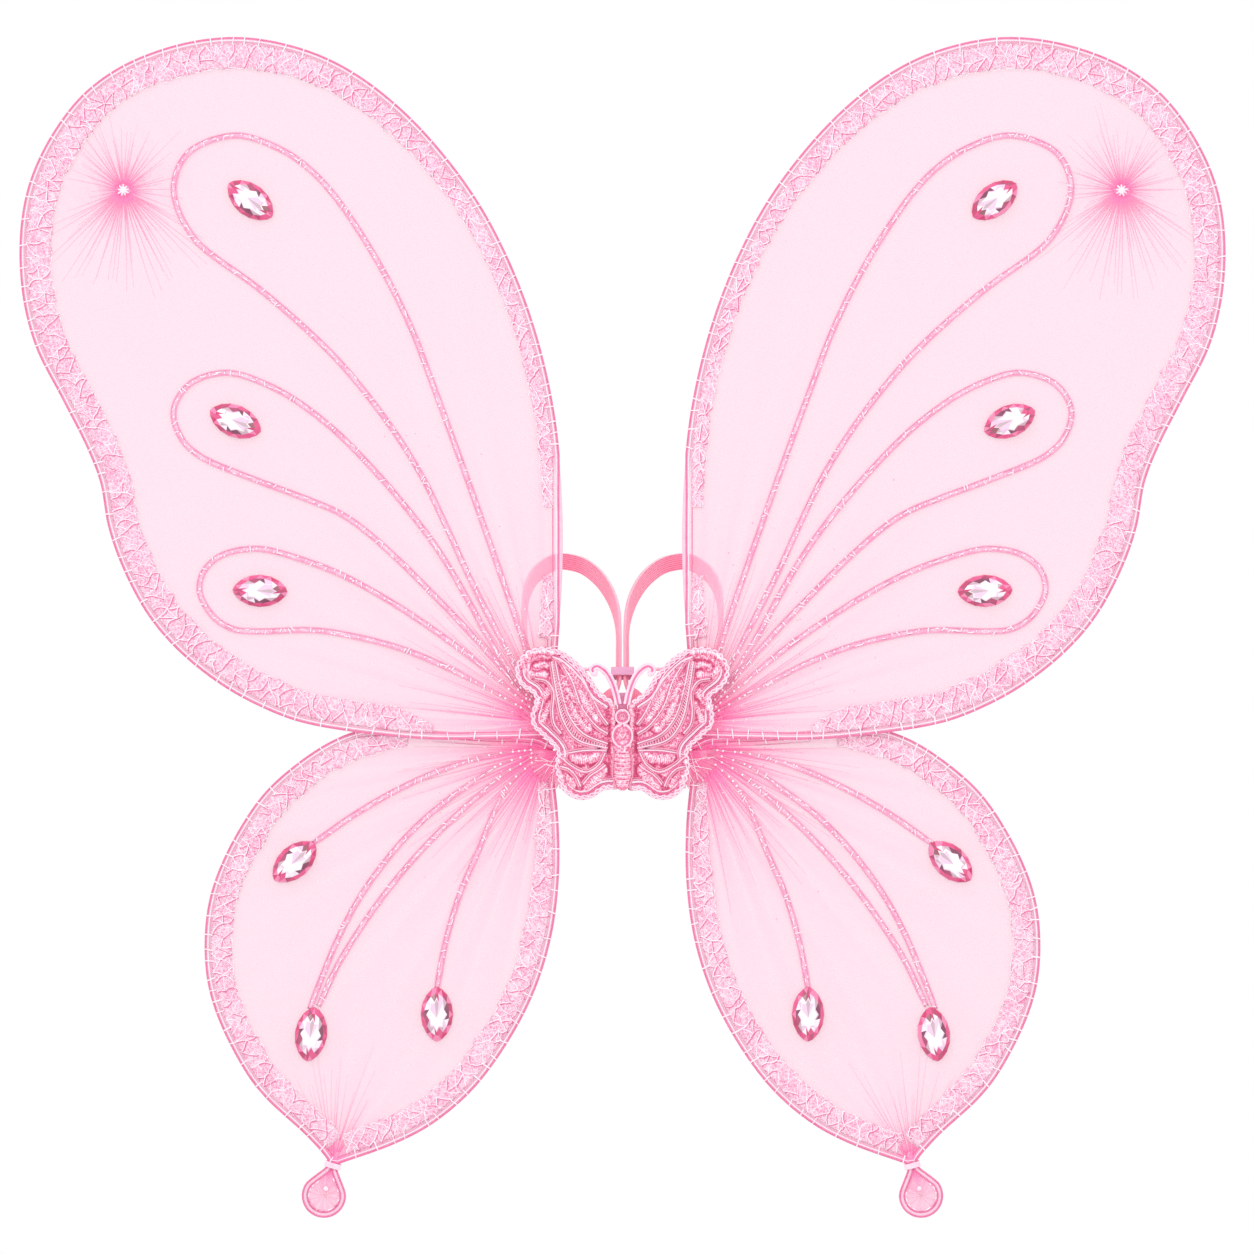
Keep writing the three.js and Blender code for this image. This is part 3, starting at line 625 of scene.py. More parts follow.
def gather_tone(wing, points):
    """How deep the pink is at each point: deep where the net is drawn together."""
    root = np.linalg.norm(points[..., [0, 2]] - wing.root[[0, 2]], axis=-1)
    angle = np.arctan2(points[..., 2] - wing.root[2], wing.side * (points[..., 0] - wing.root[0]))
    pleat = folds(angle, 46, 3 if wing.level == "upper" else 5)
    strength = 1.1 if wing.level == "lower" else 0.85
    close_by = strength * fade(root - 4 * MM, 17 * MM) * (0.55 + 0.75 * pleat)
    tone = close_by + 0.26 * fade(root, 55 * MM) * pleat
    if wing.neck is not None:
        away = np.linalg.norm(points[..., [0, 2]] - wing.neck[[0, 2]], axis=-1)
        turn = np.arctan2(points[..., 0] - wing.neck[0], points[..., 2] - wing.neck[2])
        pleat = folds(turn, 30, 9)
        tone = tone + 0.9 * fade(away, 7 * MM) + 0.36 * fade(away, 20 * MM) * pleat
    else:
        knot = np.array(sum(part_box(f"{wing.name}_knot"), Vector())) / 2
        away = np.linalg.norm(points[..., [0, 2]] - knot[[0, 2]], axis=-1)
        turn = np.arctan2(points[..., 0] - knot[0], points[..., 2] - knot[2])
        rays = folds(turn, 34, 8)
        tone = tone + 0.8 * fade(away, 3.4 * MM) + (0.1 + 0.35 * rays) * fade(away, 12 * MM)
    return np.clip(tone, 0, 1)


def fold_height(wing, points):
    """How far the pleats stand out of the wing's plane."""
    root = np.linalg.norm(points[..., [0, 2]] - wing.root[[0, 2]], axis=-1)
    angle = np.arctan2(points[..., 2] - wing.root[2], wing.side * (points[..., 0] - wing.root[0]))
    gathers = fade(root, 15 * MM) * folds(angle, 46, 3)
    height = gathers + 0.22 * fade(root, 60 * MM) * folds(angle, 30, 4)
    if wing.neck is not None:
        away = np.linalg.norm(points[..., [0, 2]] - wing.neck[[0, 2]], axis=-1)
        turn = np.arctan2(points[..., 0] - wing.neck[0], points[..., 2] - wing.neck[2])
        height = height + 0.5 * fade(away, 14 * MM) * folds(turn, 24, 9)
    return height * MM


def make_net(wing):
    """Two layers of net drawn over the wire, fanning out from the root."""
    edge = even(wing.edge, 2.0 * MM)
    side = inward(edge, wing.centre)
    shares = np.concatenate([np.linspace(0.03, 0.3, 16), np.linspace(0.33, 1, 38)])[:, None, None]
    rim = edge + side * 3.2 * MM
    fan = wing.root + shares * (rim - wing.root)[None]
    puff = fold_height(wing, fan) + 0.33 * MM
    front, back = fan.copy(), fan.copy()
    front[..., 1] = wing.plane - puff
    back[..., 1] = wing.plane + 0.33 * MM + 0.6 * (puff - 0.33 * MM)

    def over(distance, depth):
        row = edge + side * distance * MM
        row[:, 1] = wing.plane + depth * MM
        return row[None]

    up_front = [over(2.2, -0.55), over(1.2, -0.86), over(0.5, -1.08)]
    angles = np.radians([-90, -55, -20, 20, 55, 90])
    skin = 1.16
    round_wire = [over(-skin * math.cos(a), skin * math.sin(a)) for a in angles]
    down_back = [over(0.5, 1.08), over(1.2, 0.86), over(2.2, 0.55)]
    rows = np.concatenate([front, *up_front, *round_wire, *down_back, back[::-1]])
    build = Builder(MATERIALS["net"])
    build.grid(rows, blush=gather_tone(wing, rows))
    made = piece(build, f"{wing.name}_net_sheet", wing.body, "sheer_net", f"{wing.name}_net")
    return made


def make_wire(wing):
    build = Builder(MATERIALS["wire"])
    build.tube(wing.wire, 0.97 * WIRE_RADIUS, 10)
    piece(build, f"{wing.name}_wire", wing.body, "wire_wrap", f"{wing.name}_frame")


def make_hem(wing):
    """The stitched hem just inside the wire: two fine cords and white stitches across them."""
    room = room_inside(wing.edge, wing.inside, 5 * MM, wing.wire)
    build = Builder(MATERIALS["hem"], MATERIALS["white"])

    def run(line, offset, depth, radius, kind):
        side = inward(line, line.mean(0) if line is not wing.edge else wing.centre)
        path = line + side * offset * MM
        path[:, 1] = wing.plane - depth * MM
        build.tube(path, radius * MM, 6, kind)

    run(wing.edge, -0.86, 0.75, 0.42, 0)
    run(wing.edge, 0.1, 1.02, 0.22, 1)
    for start, stop in stretches(room > 1.9 * MM):
        line = wing.edge[start:stop] + wing.inside[start:stop] * 1.45 * MM
        line[:, 1] = wing.plane - 0.85 * MM
        build.tube(line, 0.22 * MM, 6)
    if wing.neck is not None:
        run(wing.drop, -0.86, 0.75, 0.42, 0)
        run(wing.drop, 0.95, 0.75, 0.3, 0)
    i = 2
    while i < len(wing.edge) - 3:
        reach = min(room[i], RNG.uniform(1.6, 2.8) * MM)
        lean = RNG.uniform(-0.5, 0.5) * MM
        ahead = wing.edge[i + 1] - wing.edge[i]
        ahead /= np.linalg.norm(ahead)
        across = np.linspace(-1.3 * MM, reach, 8)
        bow = np.where(across < 1.1 * MM, -np.sqrt(np.maximum(1.72 - (across / MM) ** 2, 0.12)), -1.02)
        path = wing.edge[i] + wing.inside[i] * across[:, None] + ahead * (lean * across / reach)[:, None]
        path[:, 1] = wing.plane + np.minimum(bow, -0.3) * MM
        path[:, 1] -= 0.25 * MM
        build.tube(path, RNG.uniform(0.22, 0.32) * MM, 5, 1, up=ahead)
        i += RNG.randint(3, 7)
    piece(build, f"{wing.name}_hem", wing.body, "wire_wrap")


def stretches(keep):
    """(start, stop) of each run of true values that is at least four long."""
    edges = np.flatnonzero(np.diff(np.concatenate([[False], keep, [False]]).astype(int)))
    return [(a, b) for a, b in zip(edges[::2], edges[1::2]) if b - a > 3]


def band_width(wing, line, side):
    """The width of the CAD lace at each point of the wire, and 0 where there is none."""
    shape = outline(f"{wing.name}_lace")
    shape = np.vstack([shape, shape[:1]])
    width = np.zeros(len(line))
    for i, (p, d) in enumerate(zip(line[:, [0, 2]], side[:, [0, 2]])):
        a, b = shape[:-1] - p, np.diff(shape, axis=0)
        cross = d[0] * b[:, 1] - d[1] * b[:, 0]
        safe = np.where(np.abs(cross) < 1e-12, 1e-12, cross)
        t = (a[:, 0] * b[:, 1] - a[:, 1] * b[:, 0]) / safe
        u = (a[:, 0] * d[1] - a[:, 1] * d[0]) / safe
        hits = np.sort(t[(u >= 0) & (u <= 1) & (t > 0.2 * MM) & (t < 17 * MM)])
        if len(hits) > 1:
            width[i] = hits[1]
    return width


def make_lace(wing):
    """The glitter lace band: a thin backing, honeycomb crackle threads and a picot inner edge."""
    line = even(wing.edge, 1.5 * MM)
    side = inward(line, wing.centre)
    room = room_inside(line, side, 16 * MM, wing.wire)
    width = np.minimum(band_width(wing, line, side), room)
    keep = width > 4 * MM
    if "lower" in wing.name:
        width = LOWER_LACE_SHARE * width
    backing = Builder(MATERIALS["lace"])
    build = Builder(MATERIALS["lace"], MATERIALS["white"], MATERIALS["hem"])
    front, back = wing.plane - 1.12 * MM, wing.plane - 0.8 * MM
    for start, stop in stretches(keep):
        part, inner, wide = line[start:stop], side[start:stop], width[start:stop]
        wobble = 0.35 * MM * NOISE.standard_normal(len(part))
        shares = np.linspace(0, 1, 7)[:, None]
        inside_edge = wide + wobble
        reach = 1.3 * MM + shares * (inside_edge - 1.3 * MM)
        sheet = part[None] + inner[None] * reach[..., None]
        top, bottom = sheet.copy(), sheet.copy()
        top[..., 1], bottom[..., 1] = front, back
        loop = np.concatenate([top, bottom[::-1]])
        backing.grid(loop.transpose(1, 0, 2), close=True, caps=True)
        crackle(build, part, inner, wide, front)
        picots(build, part, inner, inside_edge, front)
    band = piece(backing, f"{wing.name}_lace_band", wing.body, "lace", f"{wing.name}_lace")
    threads = piece(build, f"{wing.name}_lace_threads", wing.body, "lace")


def crackle(build, part, inner, wide, front):
    """Threads along a jittered honeycomb, mapped onto the band; about half of them have a darker cord laid
    beside them as a painted shadow.
    """
    step = 1.5 * MM
    cell = 5.2 * MM
    rows = 2

    def at(s, w):
        place = min(max(s / step, 0), len(part) - 1.001)
        i = int(place)
        share = place - i
        p = part[i] * (1 - share) + part[i + 1] * share
        n = inner[i] * (1 - share) + inner[i + 1] * share
        room = wide[i] * (1 - share) + wide[i + 1] * share
        spot = p + n * (1.5 * MM + w * (room - 1.7 * MM))
        spot[1] = front - 0.06 * MM
        return spot

    columns = int(len(part) * step / cell)
    knots = {}
    for c in range(columns + 1):
        for r in range(rows + 1):
            s = (c + (0.5 if r % 2 else 0)) * cell + RNG.uniform(-0.33, 0.33) * cell
            w = r / rows + (RNG.uniform(-0.13, 0.13) if 0 < r < rows else 0)
            knots[c, r] = (s, min(max(w, 0), 1))
    for (c, r), start in knots.items():
        ends = [knots.get((c, r + 1)), knots.get((c + (1 if r % 2 else -1), r + 1))]
        if RNG.random() < 0.3 and 0 < r < rows:
            ends.append(knots.get((c + 1, r)))
        for end in ends:
            if end is None or RNG.random() < 0.1 or max(start[0], end[0]) > (len(part) - 2) * step:
                continue
            shares = np.linspace(0, 1, 7)
            bow = RNG.uniform(-0.25, 0.25)
            path = []
            for t in shares:
                bent = start[0] + (end[0] - start[0]) * t + bow * cell * math.sin(math.pi * t)
                bent += RNG.uniform(-0.2, 0.2) * MM
                path.append(at(bent, start[1] + (end[1] - start[1]) * t))
            build.tube(path, RNG.choice([0.12, 0.17, 0.23]) * MM, 5, 1)
            # painted shadow: a darker cord shifted down and to the right of the thread
            if RNG.random() < 0.5:
                painted_shadow = np.array(path) + (0.42 * MM, 0.08 * MM, -0.42 * MM)
                build.tube(painted_shadow, 0.2 * MM, 5, 2)


def picots(build, part, inner, inside_edge, front):
    """White dashes and dots that break up the band's inner edge."""
    i = 1
    while i < len(part) - 2:
        spot = part[i] + inner[i] * (inside_edge[i] + RNG.uniform(-0.4, 0.2) * MM)
        spot[1] = front
        ahead = part[i + 1] - part[i]
        ahead = ahead / np.linalg.norm(ahead) * RNG.uniform(0.5, 1.2) * MM
        if RNG.random() < 0.5:
            build.tube([spot - ahead, spot, spot + ahead], 0.18 * MM, 5, 1)
        else:
            build.ball(spot, RNG.uniform(0.2, 0.34) * MM, 1, squash=0.7)
        i += RNG.randint(1, 3)


def vein_line(node):
    """A vein's centre line and half widths, from the CAD strip's two edges."""
    loop = outline(node)
    half = len(loop) // 2

    def pairs(shift):
        turned = np.roll(loop, -shift, axis=0)
        return turned[:half], turned[half:][::-1]

    best = min(range(len(loop)), key=lambda s: np.linalg.norm(pairs(s)[0] - pairs(s)[1], axis=1).sum())
    right, left = pairs(best)
    middle = (right + left) / 2
    return middle, np.linalg.norm(right - left, axis=1) / 2


def lengthened(wing, points):
    """The vein run on into the gather at the root, and under its gem where it ends at one."""
    for _ in range(2):
        start = points[0]
        away = wing.root - start[:3]
        away[1] = 0
        reach = np.linalg.norm(away)
        if reach < 30 * MM:
            stops = [start + np.append(away, 0) * share for share in (0.72, 0.36)]
            points = np.vstack([stops, points])
            points[:2, 3] = 0.42 * MM
        else:
            way = (start - points[1]) / np.linalg.norm(start - points[1])
            points = np.vstack([start + way * 4 * MM, points])
            points[0, 3] = points[1, 3] * 0.8
        points = points[::-1]
    return points


def make_vein(wing, node):
    """A glitter vein: two fine edge cords, a sheer web between and white stitches."""
    middle, half = vein_line(node)
    depth = wing.plane - 0.86 * MM
    points = np.stack([middle[:, 0], np.full(len(middle), depth), middle[:, 1], half], -1)
    points = lengthened(wing, points)
    line = smooth_line(points, 1.2 * MM)
    half = line[:, 3]
    line = line[:, :3]
    line[:, 1] -= 0.9 * fold_height(wing, line)
    ahead = np.gradient(line, axis=0)
    side = np.stack([-ahead[:, 2], np.zeros(len(line)), ahead[:, 0]], -1)
    side /= np.linalg.norm(side, axis=1)[:, None]
    build = Builder(MATERIALS["glitter"], MATERIALS["edge"], MATERIALS["white"])
    spread = np.maximum(half - 0.3 * MM, 0.12 * MM)[:, None]
    reach = side * spread
    web = np.stack([line - reach, line - reach * 0.4, line + reach * 0.4, line + reach], 1)
    web[..., 1] += 0.12 * MM
    under = web.copy()[:, ::-1]
    under[..., 1] += 0.16 * MM
    build.grid(np.concatenate([web, under], 1), 0, close=True, caps=True)
    for turn in (-1, 1):
        build.tube(line + turn * side * spread, np.minimum(half * 0.36, 0.25 * MM), 6, 1)
    i = 1
    while i < len(line) - 2:
        wide = half[i]
        spot = line[i] + side[i] * RNG.uniform(-0.5, 0.5) * wide
        spot[1] -= 0.24 * MM
        if wide < 0.75 * MM:
            spot = line[i].copy()
            spot[1] -= 0.24 * MM
            build.ball(spot, 0.5 * MM, 2, squash=0.6)
            i += RNG.randint(2, 4)
            continue
        if RNG.random() < 0.55:
            reach = RNG.uniform(0.7, 1.25) * MM
            turn = RNG.uniform(-0.7, 0.7)
            direction = ahead[i] / np.linalg.norm(ahead[i]) * math.sin(turn) + side[i] * math.cos(turn)
            if RNG.random() < 0.45:
                direction = ahead[i] / np.linalg.norm(ahead[i])
            build.tube([spot - direction * reach, spot, spot + direction * reach], 0.27 * MM, 5, 2)
        else:
            build.ball(spot, RNG.uniform(0.3, 0.46) * MM, 2, squash=0.6)
        i += RNG.randint(1, 3)
    piece(build, f"{node}_cord", wing.body, "glitter_cord", node)


# ---- Stones --------------------------------------------------------------------------------------

# Share of the stone's half size, share of its height, and turn in facets, from girdle to table.
STONE_RINGS = (
    (0.96, 0, 0),
    (1, 0.1, 0),
    (0.985, 0.2, 0),
    (0.77, 0.62, 0.5),
    (0.58, 0.9, 0),
    (0.5, 1, 0),
)
# Colours of the shoulder facets that aren't pale, counted round from the tip: the pinks are the glass's own
# colour, the plum, brown and grey ones are painted reflections.
SHOULDER_COLOURS_AND_REFLECTIONS = {
    0: "pink",
    3: "plum",
    4: "plum",
    5: "grey",
    7: "hot",
    8: "brown",
    11: "plum",
    12: "rose",
    13: "grey",
    15: "hot",
}
# Colours of the facets: the pinks are the glass's own colour; table, white, lilac, grey, plum and brown are
# painted reflections.
FACET_COLOURS_AND_REFLECTIONS = {
    "table": srgb(252, 246, 252),
    "brown": srgb(150, 84, 92),
    "white": srgb(244, 232, 244),
    "lilac": srgb(240, 206, 232),
    "grey": srgb(204, 176, 186),
    "plum": srgb(122, 40, 78),
    "rose": srgb(176, 60, 104),
    "pink": srgb(228, 74, 134),
    "hot": srgb(206, 40, 102),
    "blush": srgb(244, 130, 176),
}


def navette(share, angle, length, width):
    x = np.cos(angle)
    z = np.sign(np.sin(angle)) * np.abs(np.sin(angle)) ** 1.3
    return share * x * length / 2, share * z * width / 2


def make_stone(wing, node, seed):
    """A faceted pointed-oval stone: star table, crown facets, girdle and flat back, with fixed colours on its
    facets that are partly the glass's pink and partly painted reflections.
    """
    places, _ = welded(node)
    flat = places[:, [0, 2]]
    middle = (flat.max(0) + flat.min(0)) / 2
    _, _, axes = np.linalg.svd(flat - flat.mean(0))
    along = axes[0] * np.sign(axes[0][0] * wing.side or 1)
    if abs(along[0]) < 0.2:
        along = axes[0] * np.sign(-axes[0][1])
    across = np.array([-along[1], along[0]])
    spans = (flat - middle) @ np.stack([along, across], 1)
    length, width = np.ptp(spans, axis=0)
    rear, front = places[:, 1].max(), places[:, 1].min()
    height = rear - front
    count = 16
    turns = np.arange(count) * 2 * math.pi / count
    rings = []
    for share, depth, offset in STONE_RINGS:
        star = np.where(np.arange(count) % 2, 0.86, 1.1) if depth > 0.8 else 1
        x, z = navette(share * star, turns + offset * 2 * math.pi / count, length, width)
        rings.append([(a, depth, b) for a, b in zip(x, z)])
    points = []
    for ring in rings:
        for a, depth, b in ring:
            spot = middle + along * a + across * b
            points.append((spot[0], rear - depth * height, spot[1]))
    faces, facet_colours = [], []
    draw = random.Random(seed)

    def face(corners, facet_colour):
        faces.append(corners)
        facet_colours.append(FACET_COLOURS_AND_REFLECTIONS[facet_colour])

    def at(ring, i):
        return ring * count + i % count

    face([at(0, i) for i in range(count)], "hot")
    points.append((middle[0] + along[0] * 0.06 * length, front, middle[1] + along[1] * 0.06 * length))
    # painted reflections on the table: a fan of white, lilac and grey facets
    fan = ["table"] * 6 + ["lilac", "grey", "grey", "lilac", "lilac"] + ["table"] * 5
    for i in range(count):
        face((at(5, i), at(5, i + 1), len(points) - 1), fan[i])
    for i in range(count):
        face((at(0, i), at(1, i), at(1, i + 1), at(0, i + 1)), "hot")
        face((at(1, i), at(2, i), at(2, i + 1), at(1, i + 1)), draw.choice(["hot", "pink"]))
        face((at(2, i), at(3, i), at(2, i + 1)), draw.choice(["pink", "hot", "pink", "blush"]))
        face((at(3, i), at(3, i + 1), at(2, i + 1)), draw.choice(["pink", "blush", "rose"]))
        facet_colour = SHOULDER_COLOURS_AND_REFLECTIONS.get(i, draw.choice(["white", "lilac", "table"]))
        face((at(3, i), at(4, i + 1), at(3, i + 1)), facet_colour)
        facet_colour = SHOULDER_COLOURS_AND_REFLECTIONS.get(i, draw.choice(["white", "table", "lilac", "grey"]))
        face((at(4, i), at(4, i + 1), at(3, i)), facet_colour)
        face((at(4, i), at(5, i), at(5, i + 1), at(4, i + 1)), draw.choice(["table", "white", "lilac"]))
    mesh = bpy.data.meshes.new(f"{node}_stone")
    mesh.from_pydata(points, [], [tuple(f) for f in faces])
    mesh.materials.append(MATERIALS["stone"])
    colours = mesh.color_attributes.new("facet", "FLOAT_COLOR", "CORNER")
    for polygon, facet_colour in zip(mesh.polygons, facet_colours):
        for loop in polygon.loop_indices:
            colours.data[loop].color = (*facet_colour, 1)
    fix_normals(mesh)
    made = bpy.data.objects.new(f"{node}_stone", mesh)
    bpy.context.scene.collection.objects.link(made)
    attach(made, wing.body)
    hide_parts(node)


def fix_normals(mesh):
    work = bmesh.new()
    work.from_mesh(mesh)
    bmesh.ops.recalc_face_normals(work, faces=work.faces)
    work.to_mesh(mesh)
    work.free()


# ---- Gathers, knots and tails --------------------------------------------------------------------


def make_pleats(wing):
    """Fine raised folds that run out from each place where the net is drawn together."""
    build = Builder(MATERIALS["net"])

    def fan(centre, spread, count, near, far, thick):
        for k in range(count):
            angle = spread[0] + (spread[1] - spread[0]) * (k + RNG.uniform(0.1, 0.9)) / count
            start, stop = RNG.uniform(*near) * MM, RNG.uniform(*far) * MM
            bend = RNG.uniform(-0.05, 0.05)
            r = np.linspace(start, stop, 12)
            turn = angle + bend * (r - start) / (stop - start)
            x, z = centre[0] + r * np.cos(turn), centre[2] + r * np.sin(turn)
            path = np.stack([x, np.full(12, 0.0), z], -1)
            path[:, 1] = wing.plane - 0.36 * MM - fold_height(wing, path)
            width = thick * MM * np.linspace(1, 0.35, 12)
            tone = np.clip(gather_tone(wing, path) + 0.3, 0, 1) * np.linspace(1, 0.3, 12)
            build.tube(path, width, 5, flat=0.5, blush=np.repeat(tone, 5))

    if wing.level == "upper":
        knot = np.array(sum(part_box(f"{wing.name}_knot"), Vector())) / 2
        fan(knot, (0, 2 * math.pi), 64, (2, 3.5), (8, 26), 0.24)
        fan(knot, (math.pi * 1.15, math.pi * 1.85), 30, (2, 3.5), (26, 46), 0.26)
        fan(knot, (math.pi * 0.2, math.pi * 0.8), 14, (2, 3.5), (22, 36), 0.2)
        spread = (0.1, 1.45) if wing.side > 0 else (math.pi - 1.45, math.pi - 0.1)
    else:
        fan(wing.neck, (math.pi * 0.32, math.pi * 0.72), 22, (3, 6), (18, 52), 0.2)
        spread = (-1.35, 0.02) if wing.side > 0 else (math.pi - 0.02, math.pi + 1.35)
    fan(wing.root, spread, 40, (6, 12), (22, 70), 0.24)
    return piece(build, f"{wing.name}_pleats", wing.body, "sheer_net")


def make_root_gather(wing):
    """The bunched net and crossing threads that hide the wire ends of one wing."""
    low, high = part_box(f"{wing.name}_binding")
    inner = low.x if wing.side > 0 else high.x
    middle = (low.z + high.z) / 2
    rise = 1 if wing.level == "upper" else -1
    centre = np.array([inner - wing.side * 0.4 * MM, 0, middle + rise * 0.4 * MM])
    angles = np.radians(np.linspace(-8, 86, 120)) if rise > 0 else np.radians(np.linspace(4, -84, 120))
    pleat = folds(angles, 60, 31 + (rise > 0))
    reach = (13 + 3 * pleat) * MM
    shares = np.linspace(0.02, 1, 16)[:, None]
    r = shares * reach[None]
    x = centre[0] + wing.side * r * np.cos(angles)[None]
    z = centre[2] + r * np.sin(angles)[None]
    lift = (2.5 - 1.7 * shares**2) * MM + 0.8 * MM * pleat[None] * shares * (1 - 0.5 * shares)
    front = np.stack([x, wing.plane - lift, z], -1)
    back = front.copy()
    back[..., 1] += 0.35 * MM
    rows = np.concatenate([front, back[::-1], front[:1]])
    tone = np.clip(0.72 + 0.35 * pleat[None] - 0.55 * shares**2, 0, 1)
    build = Builder(MATERIALS["net"], MATERIALS["white"])
    blush = np.concatenate([tone, tone[::-1]]).T
    build.grid(rows[:-1].transpose(1, 0, 2), close=True, caps=True, blush=blush)
    for _ in range(9 if rise < 0 else 5):
        a, b = RNG.uniform(0.1, 0.9), RNG.uniform(0.1, 0.9)
        i, j = int(a * 119), int(b * 119)
        start, stop = front[RNG.randint(3, 8), i], front[RNG.randint(10, 15), j]
        path = np.linspace(start, stop, 6)
        path[:, 1] -= 0.5 * MM
        build.tube(path, 0.15 * MM, 5, 1)
    return piece(build, f"{wing.name}_root_gather", wing.body, "sheer_net")


def make_glitter(wing):
    """Loose glitter that has come to rest on the net, thickest near the gathers."""
    build = Builder(MATERIALS["white"], MATERIALS["edge"])
    fan = np.array([wing.root + (p - wing.root) * t for p in wing.edge[::9] for t in (0.12, 0.2, 0.3, 0.42)])
    for spot in fan:
        if RNG.random() < 0.5:
            spot = spot + np.array([RNG.uniform(-4, 4), 0, RNG.uniform(-4, 4)]) * MM
            spot[1] = wing.plane - 0.4 * MM - float(fold_height(wing, spot[None])[0])
            build.ball(spot, RNG.uniform(0.14, 0.3) * MM, RNG.choice([0, 1]), squash=0.5)
    piece(build, f"{wing.name}_loose_glitter", wing.body, "glitter_cord")


def make_knot(wing):
    """The tied star where the upper net ends: eight white thread arms and a small boss."""
    node = f"{wing.name}_knot"
    low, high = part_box(node)
    centre = np.array((low + high) / 2)
    radius = (high.x - low.x) / 2
    build = Builder(MATERIALS["white"])
    for k in range(9):
        angle = 2 * math.pi * k / 9 + 0.2
        reach = radius * RNG.uniform(0.8, 1.0)
        r = np.linspace(0.1, 1, 6) * reach
        depths = np.linspace(low.y + 0.4 * MM, high.y - 0.1 * MM, 6)
        x, z = centre[0] + r * math.cos(angle), centre[2] + r * math.sin(angle)
        path = np.stack([x, depths, z], -1)
        build.tube(path, np.linspace(0.5, 0.26, 6) * MM, 6)
    build.ball((centre[0], low.y + 0.6 * MM, centre[2]), 0.85 * MM, rings=7, sides=12, squash=0.7)
    piece(build, f"{wing.name}_star_knot", wing.body, "white_thread", node)


def make_binding(node, name, body, axis):
    """Turns of thread wound over a CAD sleeve, along the given axis."""
    places, _ = welded(node)
    centre = (places.max(0) + places.min(0)) / 2
    axis = np.asarray(axis, float) / np.linalg.norm(axis)
    depth = np.array([0.0, 1.0, 0.0])
    tall = np.cross(axis, depth)
    half_tall = np.abs((places - centre) @ tall).max() - 0.3 * MM
    half_deep = np.abs((places - centre) @ depth).max() - 0.3 * MM
    half_long = np.abs((places - centre) @ axis).max() - 0.3 * MM
    turns = 6
    angle = np.linspace(0, 2 * math.pi * turns, 24 * turns)
    c, s = squared_circle(angle, 0.6)
    along = np.linspace(-half_long, half_long, len(angle))
    path = centre + np.outer(c * half_tall, tall) + np.outer(s * half_deep, depth) + np.outer(along, axis)
    build = Builder(MATERIALS["hem"] if "root" in name else MATERIALS["pale"])
    build.tube(path, 0.27 * MM, 7, up=axis)
    piece(build, name, body, "white_thread", node)


def make_drop(wing):
    """The little drop under a lower wing: pleated net, dashes round the rim and a bead."""
    low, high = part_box(f"{wing.label}_tail_net")
    centre = np.array((low + high) / 2)
    centre[1] = wing.plane
    rim = even(wing.drop, 1.0 * MM)
    build = Builder(MATERIALS["net"])
    stitches = Builder(MATERIALS["white"], MATERIALS["edge"])
    shares = np.linspace(0.02, 0.93, 10)[:, None, None]
    fan = centre + shares * (rim - centre)[None]
    angle = np.arctan2(fan[..., 0] - centre[0], fan[..., 2] - centre[2])
    relief = 0.35 * MM * folds(angle, 14, 21)
    neck = np.linalg.norm(fan[..., [0, 2]] - wing.neck[[0, 2]], axis=-1)
    tone = np.clip(0.06 + 1.1 * fade(neck, 5 * MM) + 0.3 * folds(angle, 12, 5), 0, 1)
    front, back = fan.copy(), fan.copy()
    front[..., 1] = wing.plane - 0.3 * MM - relief
    back[..., 1] = wing.plane + 0.3 * MM + relief
    both = np.concatenate([front, back[::-1]])
    build.grid(both, close=True, caps=True, blush=np.concatenate([tone, tone[::-1]]))
    inner = even(centre + 0.8 * (rim - centre), 0.5 * MM)
    inner[:, 1] = wing.plane - 0.75 * MM
    i = 2
    while i < len(inner) - 5:
        run = RNG.randint(2, 4)
        if inner[i, 2] < wing.neck[2] - 6 * MM:
            stitches.tube(inner[i : i + run + 1], 0.28 * MM, 6, RNG.choice([0, 0, 1]))
        i += run + 2
    made = piece(build, f"{wing.label}_drop_sheet", wing.body, "sheer_net", f"{wing.label}_tail_net")
    low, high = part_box(f"{wing.label}_tail_bead")
    middle = np.array((low + high) / 2)
    bead = Builder(MATERIALS["bead"], MATERIALS["edge"])
    bead.ball(middle, (high.x - low.x) / 2 * 0.82, rings=12, sides=20)
    ring = np.linspace(0, 2 * math.pi, 25)
    radius = (high.x - low.x) / 2 * 0.8
    around = middle + radius * np.stack([np.cos(ring), 0 * ring, np.sin(ring)], -1)
    bead.tube(around, 0.22 * MM, 6, 1)
    piece(bead, f"{wing.label}_drop_bead", wing.body, "bead", f"{wing.label}_tail_bead")
    dashes = piece(stitches, f"{wing.label}_drop_stitches", wing.body, "white_thread")


def make_wing(label, level):
    wing = Wing(label, level)
    make_wire(wing)
    net = make_net(wing)
    make_hem(wing)
    make_lace(wing)
    folded = [make_pleats(wing)]
    make_glitter(wing)
    folded.append(make_root_gather(wing))
    members = frame["record"]["behaviour"]["bodies"][wing.body]
    for node in members:
        if "_vein" in node:
            make_vein(wing, node)
        elif node.endswith("_gem"):
            make_stone(wing, node, seed=len(node) * 7 + (wing.side > 0) + ord(node[-8]))
    make_binding(f"{wing.name}_binding", f"{wing.name}_root_thread", wing.body, (1, 0, 0))
    if level == "upper":
        make_knot(wing)
    else:
        places, _ = welded(f"{label}_tail_net")
        down = places.mean(0) - wing.neck
        down[1] = 0
        make_binding(f"{label}_neck_binding", f"{label}_neck_thread", wing.body, down)
        make_drop(wing)
    return wing


for side_label in SIDES:
    for wing_level in ("upper", "lower"):
        make_wing(side_label, wing_level)

# ---- Straps --------------------------------------------------------------------------------------


def lowest_ring(places, sides):
    return np.argsort(places[:, 2])[:sides]


